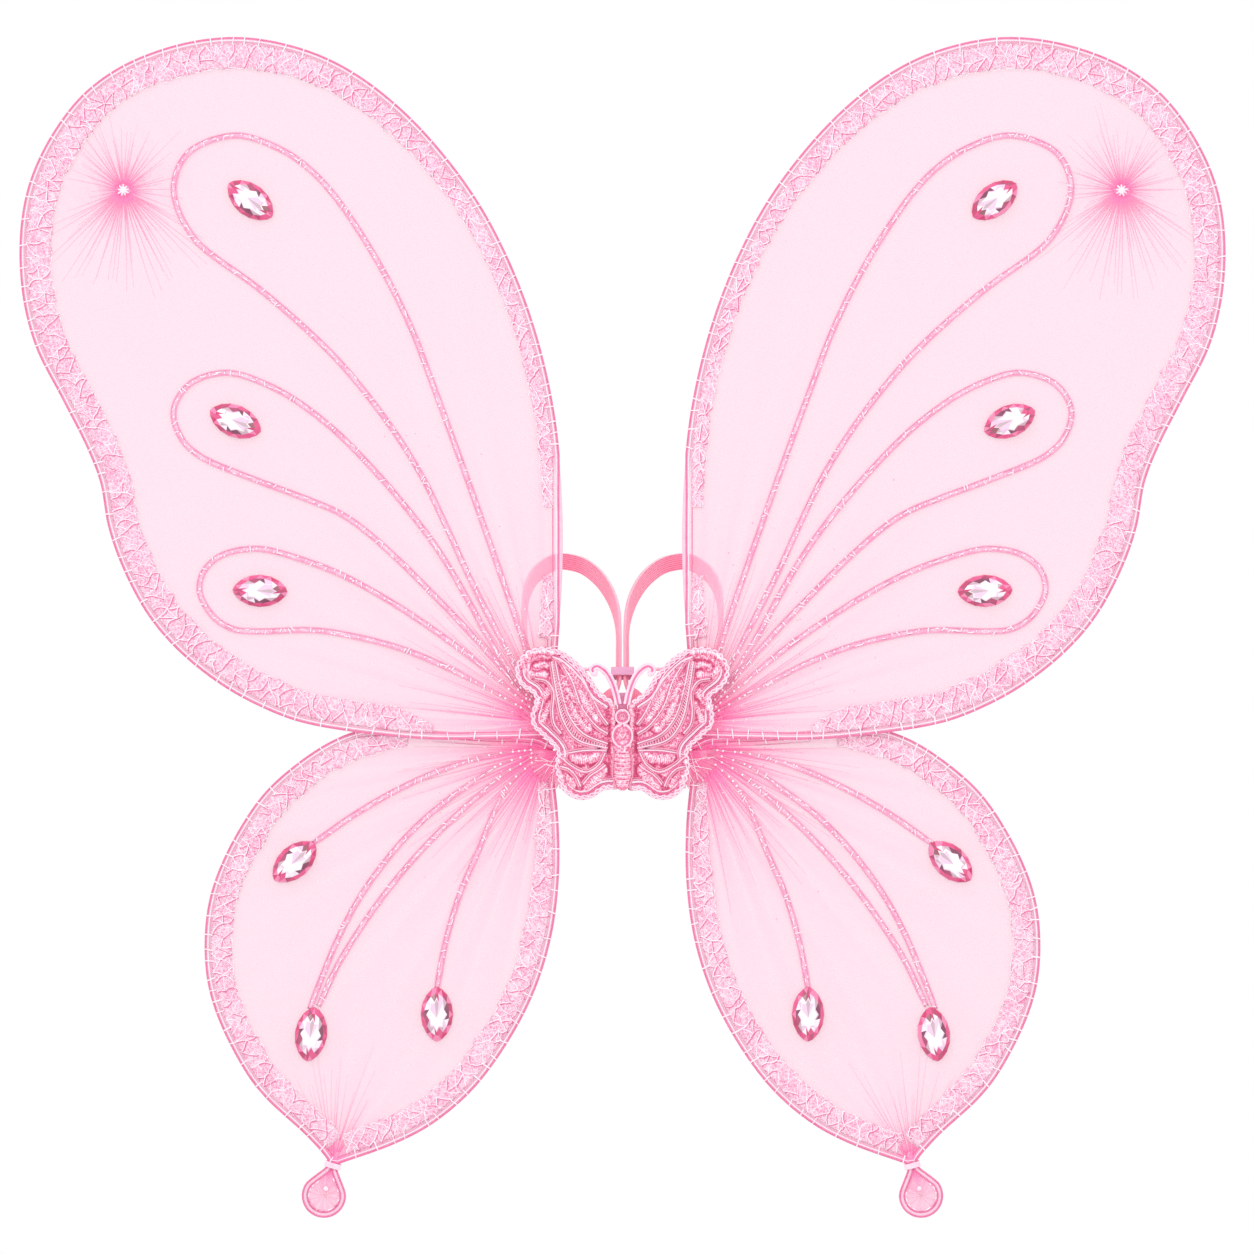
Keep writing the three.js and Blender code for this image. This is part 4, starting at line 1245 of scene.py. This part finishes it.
def make_strap(label):
    """Flat elastic with fine lengthwise ribs and finished edges, its colour painted lighter on the rib crests
    and raised edges and darker in the grooves as shade.
    """
    rings = sections(f"{label}_strap", 4, lowest_ring)
    first = rings[0]
    others = np.linalg.norm(first[1:] - first[0], axis=1)
    thin = 1 + int(np.argmin(others))
    longest = np.sort(others)[2] - 1e-6
    wide = [k for k in (1, 2, 3) if k != thin and np.linalg.norm(first[k] - first[0]) < longest][0]
    centre = rings.mean(1)
    across = rings[:, wide] - rings[:, 0]
    normal = rings[:, thin] - rings[:, 0]
    packed = smooth_line(np.hstack([centre, across, normal]), 1.0 * MM)
    centre, across, normal = packed[:, :3], packed[:, 3:6], packed[:, 6:9]
    ribs = 8
    shares = np.linspace(-0.5, 0.5, 6 * ribs + 1)
    wave = 0.5 + 0.5 * np.cos(2 * math.pi * ribs * shares)
    swell = 0.30 + 0.14 * wave
    edge = np.abs(shares) > 0.46
    swell[edge] = 0.46
    top = centre[:, None] + across[:, None] * shares[None, :, None] + normal[:, None] * swell[None, :, None]
    back = shares[None, ::-1, None]
    bottom = centre[:, None] + across[:, None] * back - normal[:, None] * swell[None, ::-1, None]
    # painted highlight on the crests and raised edges, painted shade in the grooves, following the swell
    tone = np.where(edge, 0.9, wave * 0.75 + 0.1)
    rib = np.broadcast_to(np.concatenate([tone, tone[::-1]]), (len(centre), 2 * len(shares)))
    build = Builder(MATERIALS["elastic"])
    build.grid(np.concatenate([top, bottom], 1), close=True, caps=True, rib=rib)
    piece(build, f"{label}_shoulder_strap", "hub", "elastic", f"{label}_strap")


for label in SIDES:
    make_strap(label)

# ---- Embroidered butterfly -----------------------------------------------------------------------

FLAP_REAR = -16.2 * MM
FLAP_FRONT = -18.5 * MM
FLAP_MIDDLE = (18, 8)
PADS = [  # route in mm on the right wing, half width, rise
    ([(28.5, 34), (33, 34.6), (37.4, 32.6), (38.6, 29.2), (36, 26.4), (31.6, 26)], 1.9, 1.25),
    ([(28.4, 30), (31.6, 30.4), (34.4, 29.4)], 1.5, 0.8),
    ([(29, 20), (31.8, 17.2), (33.4, 12.6)], 1.6, 1.0),
    ([(28.6, 14.6), (30.8, 11.4), (32.2, 7.6)], 1.5, 1.0),
    ([(9.6, -6.2), (14, -7.6), (19.4, -7)], 1.8, 1.1),
    ([(8.2, -11.6), (10.6, -15.6), (15, -18.6)], 2.1, 1.2),
    ([(23.6, -8.4), (23, -13.6), (18.8, -18.4)], 2.1, 1.2),
    ([(14.2, -11), (17.2, -13), (19.6, -12)], 1.5, 0.9),
    ([(11, 10), (15, 17), (21, 26)], 3.6, 0.7),
    ([(14, 6), (19.6, 12), (22.4, 21)], 2.4, 0.6),
]
VEINS = [
    [(27.3, 32.7), (24.7, 20), (21.3, 9.3), (15.6, 2.4), (6, -1.6)],
    [(28.6, 31.4), (27, 21), (24, 8), (18.4, 0.2), (6, -3.4)],
    [(26, 32.7), (20.6, 24), (16.6, 13.3), (10.4, 5.3), (6, 2.4)],
    [(25, 33.4), (17.4, 26.6), (12.8, 17.8), (8.8, 10), (6, 6.2)],
    [(35, 24.4), (30.4, 23.4), (27.8, 19), (28.2, 12), (27.4, 6.4), (24.6, 2.6)],
    [(6.2, -3.6), (14, -3.4), (20, -4.2), (26, -5.4)],
    [(7.2, -4.6), (10, -9.6), (14.6, -12), (19.6, -10), (24.6, -6)],
    [(7, -9.4), (9.6, -11.4), (13.2, -13.8), (16, -17.2)],
    [(24.8, -10.6), (21.6, -11.6), (18.8, -14.4), (17, -18.4)],
]
RIBS = [
    [(9.4, 9), (13.4, 16), (18.6, 24), (23, 30)],
    [(12.4, 7.8), (17, 13.6), (20.6, 20.8), (23.8, 28)],
    [(16.4, 5.2), (20.2, 11), (22.8, 18), (25, 25)],
]


def relief_material():
    n = Nodes("embroidery")
    tone = n.attribute("tone")
    thread = n.noise(1500, 4)
    weave = n.add("ShaderNodeTexVoronoi", {"feature": "F1"}, Scale=1000.0)
    n.set(weave.inputs["Vector"], n.place())
    tone = n.maths("ADD", tone, n.maths("MULTIPLY", n.maths("SUBTRACT", thread, 0.5), 0.8))
    cells = n.maths("SUBTRACT", weave.outputs["Distance"], 0.45)
    tone = n.maths("ADD", tone, n.maths("MULTIPLY", cells, 0.5))
    # low tone is painted shade and high tone painted highlight; the noise and cells are the thread's own
    # texture
    stops = [
        (0.06, srgb(196, 58, 106)),
        (0.32, srgb(230, 104, 148)),
        (0.54, srgb(252, 176, 203)),
        (0.74, srgb(255, 230, 240)),
        (0.92, srgb(255, 248, 251)),
    ]
    colour = n.ramp(tone, stops)
    n.bump(thread, 0.5, 0.0003)
    return n.finish(colour, 0.6, Sheen_Weight=0.2)


MATERIALS["relief"] = relief_material()


def from_route(spots, route):
    """Distance to a route in mm, and how far along it the nearest place is."""
    route = np.asarray(route, float)
    start, span = route[:-1], np.diff(route, axis=0)
    share = np.clip(((spots[:, None] - start) * span).sum(2) / (span**2).sum(1), 0, 1)
    away = np.linalg.norm(spots[:, None] - (start + share[..., None] * span), axis=2)
    lengths = np.concatenate([[0], np.cumsum(np.linalg.norm(span, axis=1))])
    best = away.argmin(1)
    row = np.arange(len(spots))
    return away[row, best], lengths[best] + share[row, best] * (lengths[best + 1] - lengths[best])


def flap_height(spots):
    """Rise of the embroidery in mm over its base, and its tone, on the right wing's plan; the tone holds the
    stitch hatching, painted highlight on the padded stitches and painted shade round the pads and along the
    veins.
    """
    rise = np.zeros(len(spots))
    hatch = np.sin(spots[:, 0] * 5.2 + spots[:, 1] * 3.1) * np.sin(spots[:, 0] * 2.7 - spots[:, 1] * 4.6)
    tone = 0.42 + 0.14 * hatch
    for route, wide, high in PADS:
        away, along = from_route(spots, route)
        bump = np.exp(-((away / wide) ** 2))
        stitch = 0.5 + 0.5 * np.sin(along * 2 * math.pi / 0.85 + away * 1.2)
        rise += high * bump + 0.12 * bump * stitch
        # painted highlight on the padded stitches and a ring of painted shade just outside each pad
        tone += bump * (0.4 * stitch - 0.05) - 0.3 * np.exp(-(((away - wide * 1.35) / 0.5) ** 2))
    for route in VEINS:
        away, _ = from_route(spots, route)
        # painted shade along the veins, where the cords sink in
        tone -= 0.42 * np.exp(-((away / 1.1) ** 2))
        rise -= 0.3 * np.exp(-((away / 0.9) ** 2))
    return rise, tone


def offset_ring(edge, middle, distance):
    """The ring moved in by a distance towards its middle."""
    ahead = np.roll(edge, -1, axis=0) - np.roll(edge, 1, axis=0)
    side = np.stack([-ahead[:, 1], ahead[:, 0]], -1)
    side /= np.linalg.norm(side, axis=1)[:, None]
    if ((middle - edge) * side).sum() < 0:
        side = -side
    return edge + side * distance


def make_flap(label):
    """One embroidered wing: padded satin, corded veins, feather stitches and a scalloped edge."""
    side = SIDES[label]
    edge = outline(f"{label}_applique_wing") / MM * (side, 1)
    edge[edge[:, 0] < 6.6, 0] = 2.2
    middle = np.array(FLAP_MIDDLE, float)
    closed = np.vstack([edge, edge[:1]])
    curve = smooth_line(np.stack([closed[:, 0], 0 * closed[:, 0], closed[:, 1]], -1), 0.4)[:-1][:, [0, 2]]
    curve[:, 0] = np.maximum(curve[:, 0], 2.2)
    shares = np.concatenate([np.linspace(0.02, 0.9, 56), np.linspace(0.915, 1, 14)])[:, None, None]
    plan = middle + shares * (curve - middle)[None]
    spots = plan.reshape(-1, 2)
    rise, tone = flap_height(spots)
    rim, _ = from_route(spots, np.vstack([curve[::3], curve[:1]]))
    shoulder = np.sqrt(1 - (1 - np.clip(rim / 1.3, 0, 1)) ** 2)
    band = np.exp(-(((rim - 3.0) / 0.8) ** 2))
    # painted shade in the groove 3 mm in from the edge and painted highlight on the rim's shoulder
    tone = tone - 0.25 * band + 0.15 * np.exp(-(((rim - 1.4) / 0.8) ** 2))
    relief = np.clip(rise - 0.4 * band, -0.6, 1.6) * shoulder * MM
    height = (FLAP_REAR - FLAP_FRONT) * (0.25 + 0.75 * shoulder) + relief
    front = np.stack([side * spots[:, 0] * MM, FLAP_REAR - height, spots[:, 1] * MM], -1)
    front = front.reshape(*plan.shape[:2], 3)
    back = front[::-1].copy()
    back[..., 1] = FLAP_REAR
    build = Builder(MATERIALS["relief"], MATERIALS["pale"], MATERIALS["cord"], MATERIALS["hem"])
    tones = np.concatenate([tone.reshape(plan.shape[:2]), np.full(plan.shape[:2], 0.2)])
    build.grid(np.concatenate([front, back]), close=True, caps=True, tone=tones)

    def lay(route, radius, kind, smoothly=True, above=0.0):
        route = np.asarray(route, float)
        path = np.stack([route[:, 0], 0 * route[:, 0], route[:, 1]], -1)
        path = smooth_line(path, 0.5) if smoothly else path
        lift, _ = flap_height(path[:, [0, 2]])
        depth = FLAP_FRONT - (np.clip(lift, 0, 1.4) + above) * MM
        path = np.stack([side * path[:, 0] * MM, depth, path[:, 2] * MM], -1)
        build.tube(path, radius * MM, 6, kind)

    for route in VEINS:
        near = np.asarray(route, float)
        ahead = np.gradient(near, axis=0)
        across = np.stack([-ahead[:, 1], ahead[:, 0]], -1) / np.linalg.norm(ahead, axis=1)[:, None]
        lay(near + across * 0.42, 0.38, 2)
        lay(near - across * 0.42, 0.34, 1)
        lay(near - across * 1.1, 0.22, 3)
    ladder(lay, VEINS[0], VEINS[1], 20)
    for rib in RIBS:
        lay(rib, 0.2, 3)
        line = smooth_line(np.stack([[p[0], 0, p[1]] for p in rib]), 1.5)[:, [0, 2]]
        ahead = np.gradient(line, axis=0)
        ahead /= np.linalg.norm(ahead, axis=1)[:, None]
        for i in range(1, len(line) - 1):
            for turn in (-1, 1):
                angle = turn * RNG.uniform(0.7, 1.0)
                c, d = math.cos(angle), math.sin(angle)
                way = np.array([ahead[i][0] * c - ahead[i][1] * d, ahead[i][0] * d + ahead[i][1] * c])
                reach = RNG.uniform(1.3, 2.1)
                stops = [line[i] + way * reach * t + ahead[i] * 0.3 * t * t for t in (0, 0.5, 1)]
                lay(stops, RNG.uniform(0.13, 0.2), RNG.choice([1, 1, 3]), smoothly=False, above=0.12)

    def around(distance, wave, pitch, radius, kind, drop=0.0):
        ring = offset_ring(curve, middle, distance)
        keep = (curve[:, 0] > 3.4) & (ring[:, 0] > 3.4)
        ring = ring[keep]
        start = int(np.argmax(np.linalg.norm(np.roll(ring, -1, axis=0) - ring, axis=1))) + 1
        ring = np.roll(ring, -start % len(ring), axis=0)
        along = np.concatenate([[0], np.cumsum(np.linalg.norm(np.diff(ring, axis=0), axis=1))])
        ahead = np.gradient(ring, axis=0)
        across = np.stack([-ahead[:, 1], ahead[:, 0]], -1) / (np.linalg.norm(ahead, axis=1)[:, None] + 1e-9)
        shift = wave * np.abs(np.sin(along * math.pi / pitch))
        ring = ring - across * shift[:, None] * np.sign(((middle - ring) * across).sum())
        depth = np.full(len(ring), FLAP_FRONT + drop * MM)
        path = np.stack([side * ring[:, 0] * MM, depth, ring[:, 1] * MM], -1)
        build.tube(even(path, 0.35 * MM), radius * MM, 6, kind)

    around(1.1, 0.8, 2.7, 0.42, 1, -0.1)
    around(1.9, 0.7, 2.7, 0.34, 1, -0.15)
    around(1.3, 0.0, 1, 0.3, 3, 0.2)
    around(2.5, 0.0, 1, 0.36, 3, 0.05)
    around(3.4, 0.0, 1, 0.45, 1, -0.25)
    around(4.3, 0.0, 1, 0.36, 2, -0.2)
    around(5.0, 0.0, 1, 0.28, 3, -0.05)
    made = build.object(f"{label}_embroidered_wing")
    fix_normals(made.data)
    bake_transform(made)
    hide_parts(f"{label}_applique_wing")


def ladder(lay, first, second, count):
    """Short stitches from one vein to the next."""
    lines = []
    for route in (first, second):
        line = smooth_line(np.stack([[p[0], 0, p[1]] for p in route]), 0.2)[:, [0, 2]]
        lines.append(line[np.linspace(4, len(line) - 5, count * 2).astype(int)])
    for a, b in zip(*lines):
        lay([a + (b - a) * 0.3, (a + b) / 2, a + (b - a) * 0.75], 0.17, 1, smoothly=False, above=0.15)


# Height and half width of the embroidered body, in mm from its tail to its head.
BODY_PROFILE = [
    (-19.9, 0.6),
    (-18.6, 2.6),
    (-14, 3.9),
    (-8, 3.7),
    (-4.4, 3.2),
    (-2.6, 3.9),
    (1.9, 4.5),
    (5.4, 3.4),
    (6.8, 2.2),
    (9.6, 3.1),
    (12, 1.6),
    (12.6, 0.6),
]


def make_body():
    """The butterfly's body: ribbed abdomen, ringed thorax and head."""
    depth = FLAP_FRONT - 0.2 * MM
    heights = np.linspace(-19.9, 12.6, 150)
    knots = BODY_PROFILE
    half = np.interp(heights, *zip(*knots))
    across = np.linspace(-1, 1, 31)
    x = half[:, None] * across[None]
    ribs = np.where(heights < -4.4, 0.5 + 0.5 * np.cos((heights + 4.4) * 2 * math.pi / 1.7), 0.4)[:, None]
    dome = np.sqrt(np.clip(1 - across**2, 0, 1))[None]
    rise = dome * (1.0 + 0.25 * ribs) + 0 * x
    # painted highlight on top of the dome and the rib crests, painted shade towards the sides
    tone = 0.15 + 0.45 * dome * (0.45 + 0.55 * ribs) + 0 * x
    front = np.stack([x * MM, depth - rise * MM, np.broadcast_to(heights[:, None], x.shape) * MM], -1)
    back = front[:, ::-1].copy()
    back[..., 1] = FLAP_REAR
    build = Builder(MATERIALS["relief"], MATERIALS["pale"], MATERIALS["cord"], MATERIALS["hem"])
    tones = np.concatenate([tone, 0.2 + 0 * tone], 1)
    build.grid(np.concatenate([front, back], 1), close=True, caps=True, tone=tones)

    def ring(x0, z0, rx, rz, radius, kind, lift):
        turn = np.linspace(0, 2 * math.pi, 41)
        x, z = x0 + rx * np.cos(turn), z0 + rz * np.sin(turn)
        path = np.stack([x, np.full(41, depth / MM - lift), z], -1) * MM
        build.tube(path, radius * MM, 6, kind)

    ring(0, 9.5, 2.6, 2.7, 0.42, 1, 0.75)
    ring(0, 9.5, 1.7, 1.8, 0.36, 3, 1.0)
    ring(0, 9.5, 1.0, 1.1, 0.36, 2, 1.15)
    ring(0, 1.9, 3.9, 4.5, 0.45, 1, 0.7)
    ring(0, 1.9, 3.0, 3.6, 0.32, 3, 0.9)
    for side in (-1, 1):
        v = [(side * 1.3 * MM, depth - 1.35 * MM, 2.9 * MM), (0, depth - 1.4 * MM, 0.9 * MM)]
        build.tube(np.linspace(*v, 4), 0.28 * MM, 6, 1)
        belly = np.array([(side * h * 1.02, z) for z, h in zip(heights, half) if -19 < z < -3.4])
        path = np.stack([belly[:, 0] * MM, np.full(len(belly), depth - 0.25 * MM), belly[:, 1] * MM], -1)
        build.tube(path, 0.32 * MM, 6, 2)
    for z in np.arange(-17.6, -5, 1.7):
        wide = np.interp(z, heights, half) * 0.85
        turn = np.linspace(-1, 1, 9)
        dome = depth / MM - 0.15 - 1.15 * np.sqrt(1 - 0.9 * turn**2)
        path = np.stack([turn * wide, dome, z + 0.4 * turn**2], -1) * MM
        build.tube(path, 0.2 * MM, 5, 1)
    piece(build, "embroidered_body", "hub", "embroidery", "applique_body")


def make_antenna(label):
    """A curled antenna: two cords side by side with a bead of thread at the tip."""
    rings = sections(f"{label}_antenna", 6, lowest_ring)
    line = smooth_line(rings.mean(1), 0.5 * MM)
    ahead = np.gradient(line, axis=0)
    across = np.stack([-ahead[:, 2], 0 * ahead[:, 0], ahead[:, 0]], -1)
    across /= np.linalg.norm(across, axis=1)[:, None]
    build = Builder(MATERIALS["cord"], MATERIALS["pale"], MATERIALS["hem"])
    build.tube(line, 1.35 * MM, 8, 2, flat=0.6)
    for turn, kind in ((-1, 1), (1, 1)):
        cord = line + turn * across * 0.86 * MM
        cord[:, 1] -= 0.45 * MM
        build.tube(cord, 0.56 * MM, 7, kind)
    tip = line[-1].copy()
    tip[1] -= 0.3 * MM
    build.ball(tip, 1.15 * MM, 1, rings=8, sides=12, squash=0.8)
    piece(build, f"{label}_corded_antenna", "hub", "embroidery", f"{label}_antenna")


def make_tie_bar(label):
    """The fine stitched bar from an antenna's tip to the top edge of the embroidered wing."""
    side = SIDES[label]
    build = Builder(MATERIALS["cord"], MATERIALS["pale"])
    for height, kind in ((28.9, 1), (28.1, 0)):
        path = np.linspace((side * 12.4, -17.8, height), (side * 17.6, -17.8, height), 6) * MM
        build.tube(path, 0.36 * MM, 6, kind)
    piece(build, f"{label}_tie_bar", f"{label}_applique_flap", "embroidery")


def make_tab():
    """The short lilac tab that stands between the antennae, up from the hub to below the slider."""
    build = Builder(MATERIALS["lilac"])
    heights = np.linspace(11.7, 19, 12)
    across = np.linspace(-1.9, 1.9, 9)
    x, z = np.meshgrid(across, heights)
    bow = 0.25 * np.cos(x / 1.9 * math.pi / 2) + 0.1 * np.sin(z * 3)
    front = np.stack([x, -6.8 - bow, z], -1) * MM
    back = np.stack([x[:, ::-1], -5.8 + 0 * x, z], -1) * MM
    build.grid(np.concatenate([front, back], 1), close=True, caps=True)
    piece(build, "strap_tab", "hub", "lilac_satin")


make_body()
make_tab()
for label in SIDES:
    make_flap(label)
    make_antenna(label)
    make_tie_bar(label)

# ---- Pad and hub ---------------------------------------------------------------------------------


def make_pad():
    """The soft pad on the back: flat where it rests on the wearer, pinched in at its stitched edge."""
    low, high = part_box("back_pad")
    loop = outline("back_pad")
    loop = loop[np.argsort(np.arctan2(loop[:, 1], loop[:, 0]))]
    loop = np.vstack([loop, loop[:1]])
    edge = even(np.stack([loop[:, 0], 0 * loop[:, 0], loop[:, 1]], -1), 0.6 * MM)[:-1]
    shares = np.concatenate([np.linspace(0.02, 0.82, 24), np.linspace(0.84, 1, 14)])[:, None]
    from_edge = (1 - shares) * np.linalg.norm(edge, axis=1)[None]
    seam = np.exp(-(((from_edge - 2.2 * MM) / (0.8 * MM)) ** 2))
    thick = (high.y - low.y) / 2
    half = thick * np.sqrt(1 - (1 - np.clip(from_edge / (1.1 * MM), 0, 1)) ** 2) - 0.45 * MM * seam
    half = np.maximum(half, 0.05 * MM)
    middle = (low.y + high.y) / 2
    x, z = shares * edge[:, 0][None], shares * edge[:, 2][None]
    lumps = 0.06 * MM * np.sin(x * 900) * np.sin(z * 700)
    front = np.stack([x, middle - half + lumps, z], -1)
    back = np.stack([x, middle + half, z], -1)
    build = Builder(MATERIALS["felt"])
    build.grid(np.concatenate([front, back[::-1]]), close=True, caps=True)
    made = piece(build, "felt_pad", "hub", "felt", "back_pad")
    stitches = Builder(MATERIALS["white"], MATERIALS["hem"])
    for i in range(0, len(edge), 5):
        out = edge[i] / np.linalg.norm(edge[i])
        path = np.array([edge[i] - out * inset * MM for inset in (2.4, 1.2, -0.2, 1.2, 2.4)])
        path[:, 1] = middle + np.array([0.85, 1.05, 0, -1.05, -0.85]) * thick
        stitches.tube(smooth_line(path, 0.5 * MM), 0.22 * MM, 5)
    seam_line = edge * (1 - 2.4 * MM / np.linalg.norm(edge, axis=1))[:, None]
    seam_line = np.vstack([seam_line, seam_line[:2]])
    seam_line[:, 1] = middle + 0.62 * thick
    stitches.tube(seam_line, 0.2 * MM, 5, 1)
    piece(stitches, "pad_stitches", "hub", "white_thread")


def make_hub():
    """The bundle of wire ends and gathered net, wound round with thread."""
    low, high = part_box("wire_hub")
    middle = np.array((low + high) / 2)
    half = np.array((high - low) / 2)
    along = np.linspace(-1, 1, 90)[:, None]
    turn = np.linspace(0, 2 * math.pi, 160, endpoint=False)[None]
    pleat = folds(turn + 0.25 * np.sin(along * 3), 26, 12)
    ends = np.sqrt(np.clip(1 - np.abs(along) ** 7, 0.04, 1))
    size = ends * (0.93 + 0.06 * pleat)
    c, s = squared_circle(turn, BUNDLE_SQUARENESS)
    rows = np.stack([along * half[0] + 0 * turn, half[1] * size * c, half[2] * size * s], -1) + middle
    build = Builder(MATERIALS["bundle"], MATERIALS["white"])
    build.grid(rows, close=True, caps=True)
    for place in (-0.62, -0.2, 0.2, 0.62):
        angle = np.linspace(0, 2 * math.pi * 4, 161)
        c, s = squared_circle(angle, BUNDLE_SQUARENESS)
        x = place * half[0] + np.linspace(-1, 1, 161) * MM
        path = np.stack([x, 0.965 * half[1] * c, 0.965 * half[2] * s], -1) + middle
        build.tube(path, 0.28 * MM, 5, 1, up=(1, 0, 0))
    piece(build, "gathered_bundle", "hub", "hub_wrap", "wire_hub")


make_pad()
make_hub()

# ---- Carried-over nodes and floor ----------------------------------------------------------------


def clothe(node, material):
    made = frame["nodes"][node]
    made.data.materials.clear()
    made.data.materials.append(MATERIALS[material])


clothe("strap_slider", "lilac")


def make_floor():
    n = Nodes("floor")
    colour = n.ramp(n.noise(3, 2), [(0.3, (0.79, 0.79, 0.79)), (0.7, (0.82, 0.82, 0.82))])
    material = n.finish(colour, 0.9)
    build = Builder(material)
    build.grid([[(-1.2, -1.0, -0.32), (1.2, -1.0, -0.32)], [(-1.2, 1.1, -0.32), (1.2, 1.1, -0.32)]])
    build.object("floor")


make_floor()
for made in bpy.context.scene.objects:
    if made.type == "MESH" and "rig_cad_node" not in made:
        fix_normals(made.data)
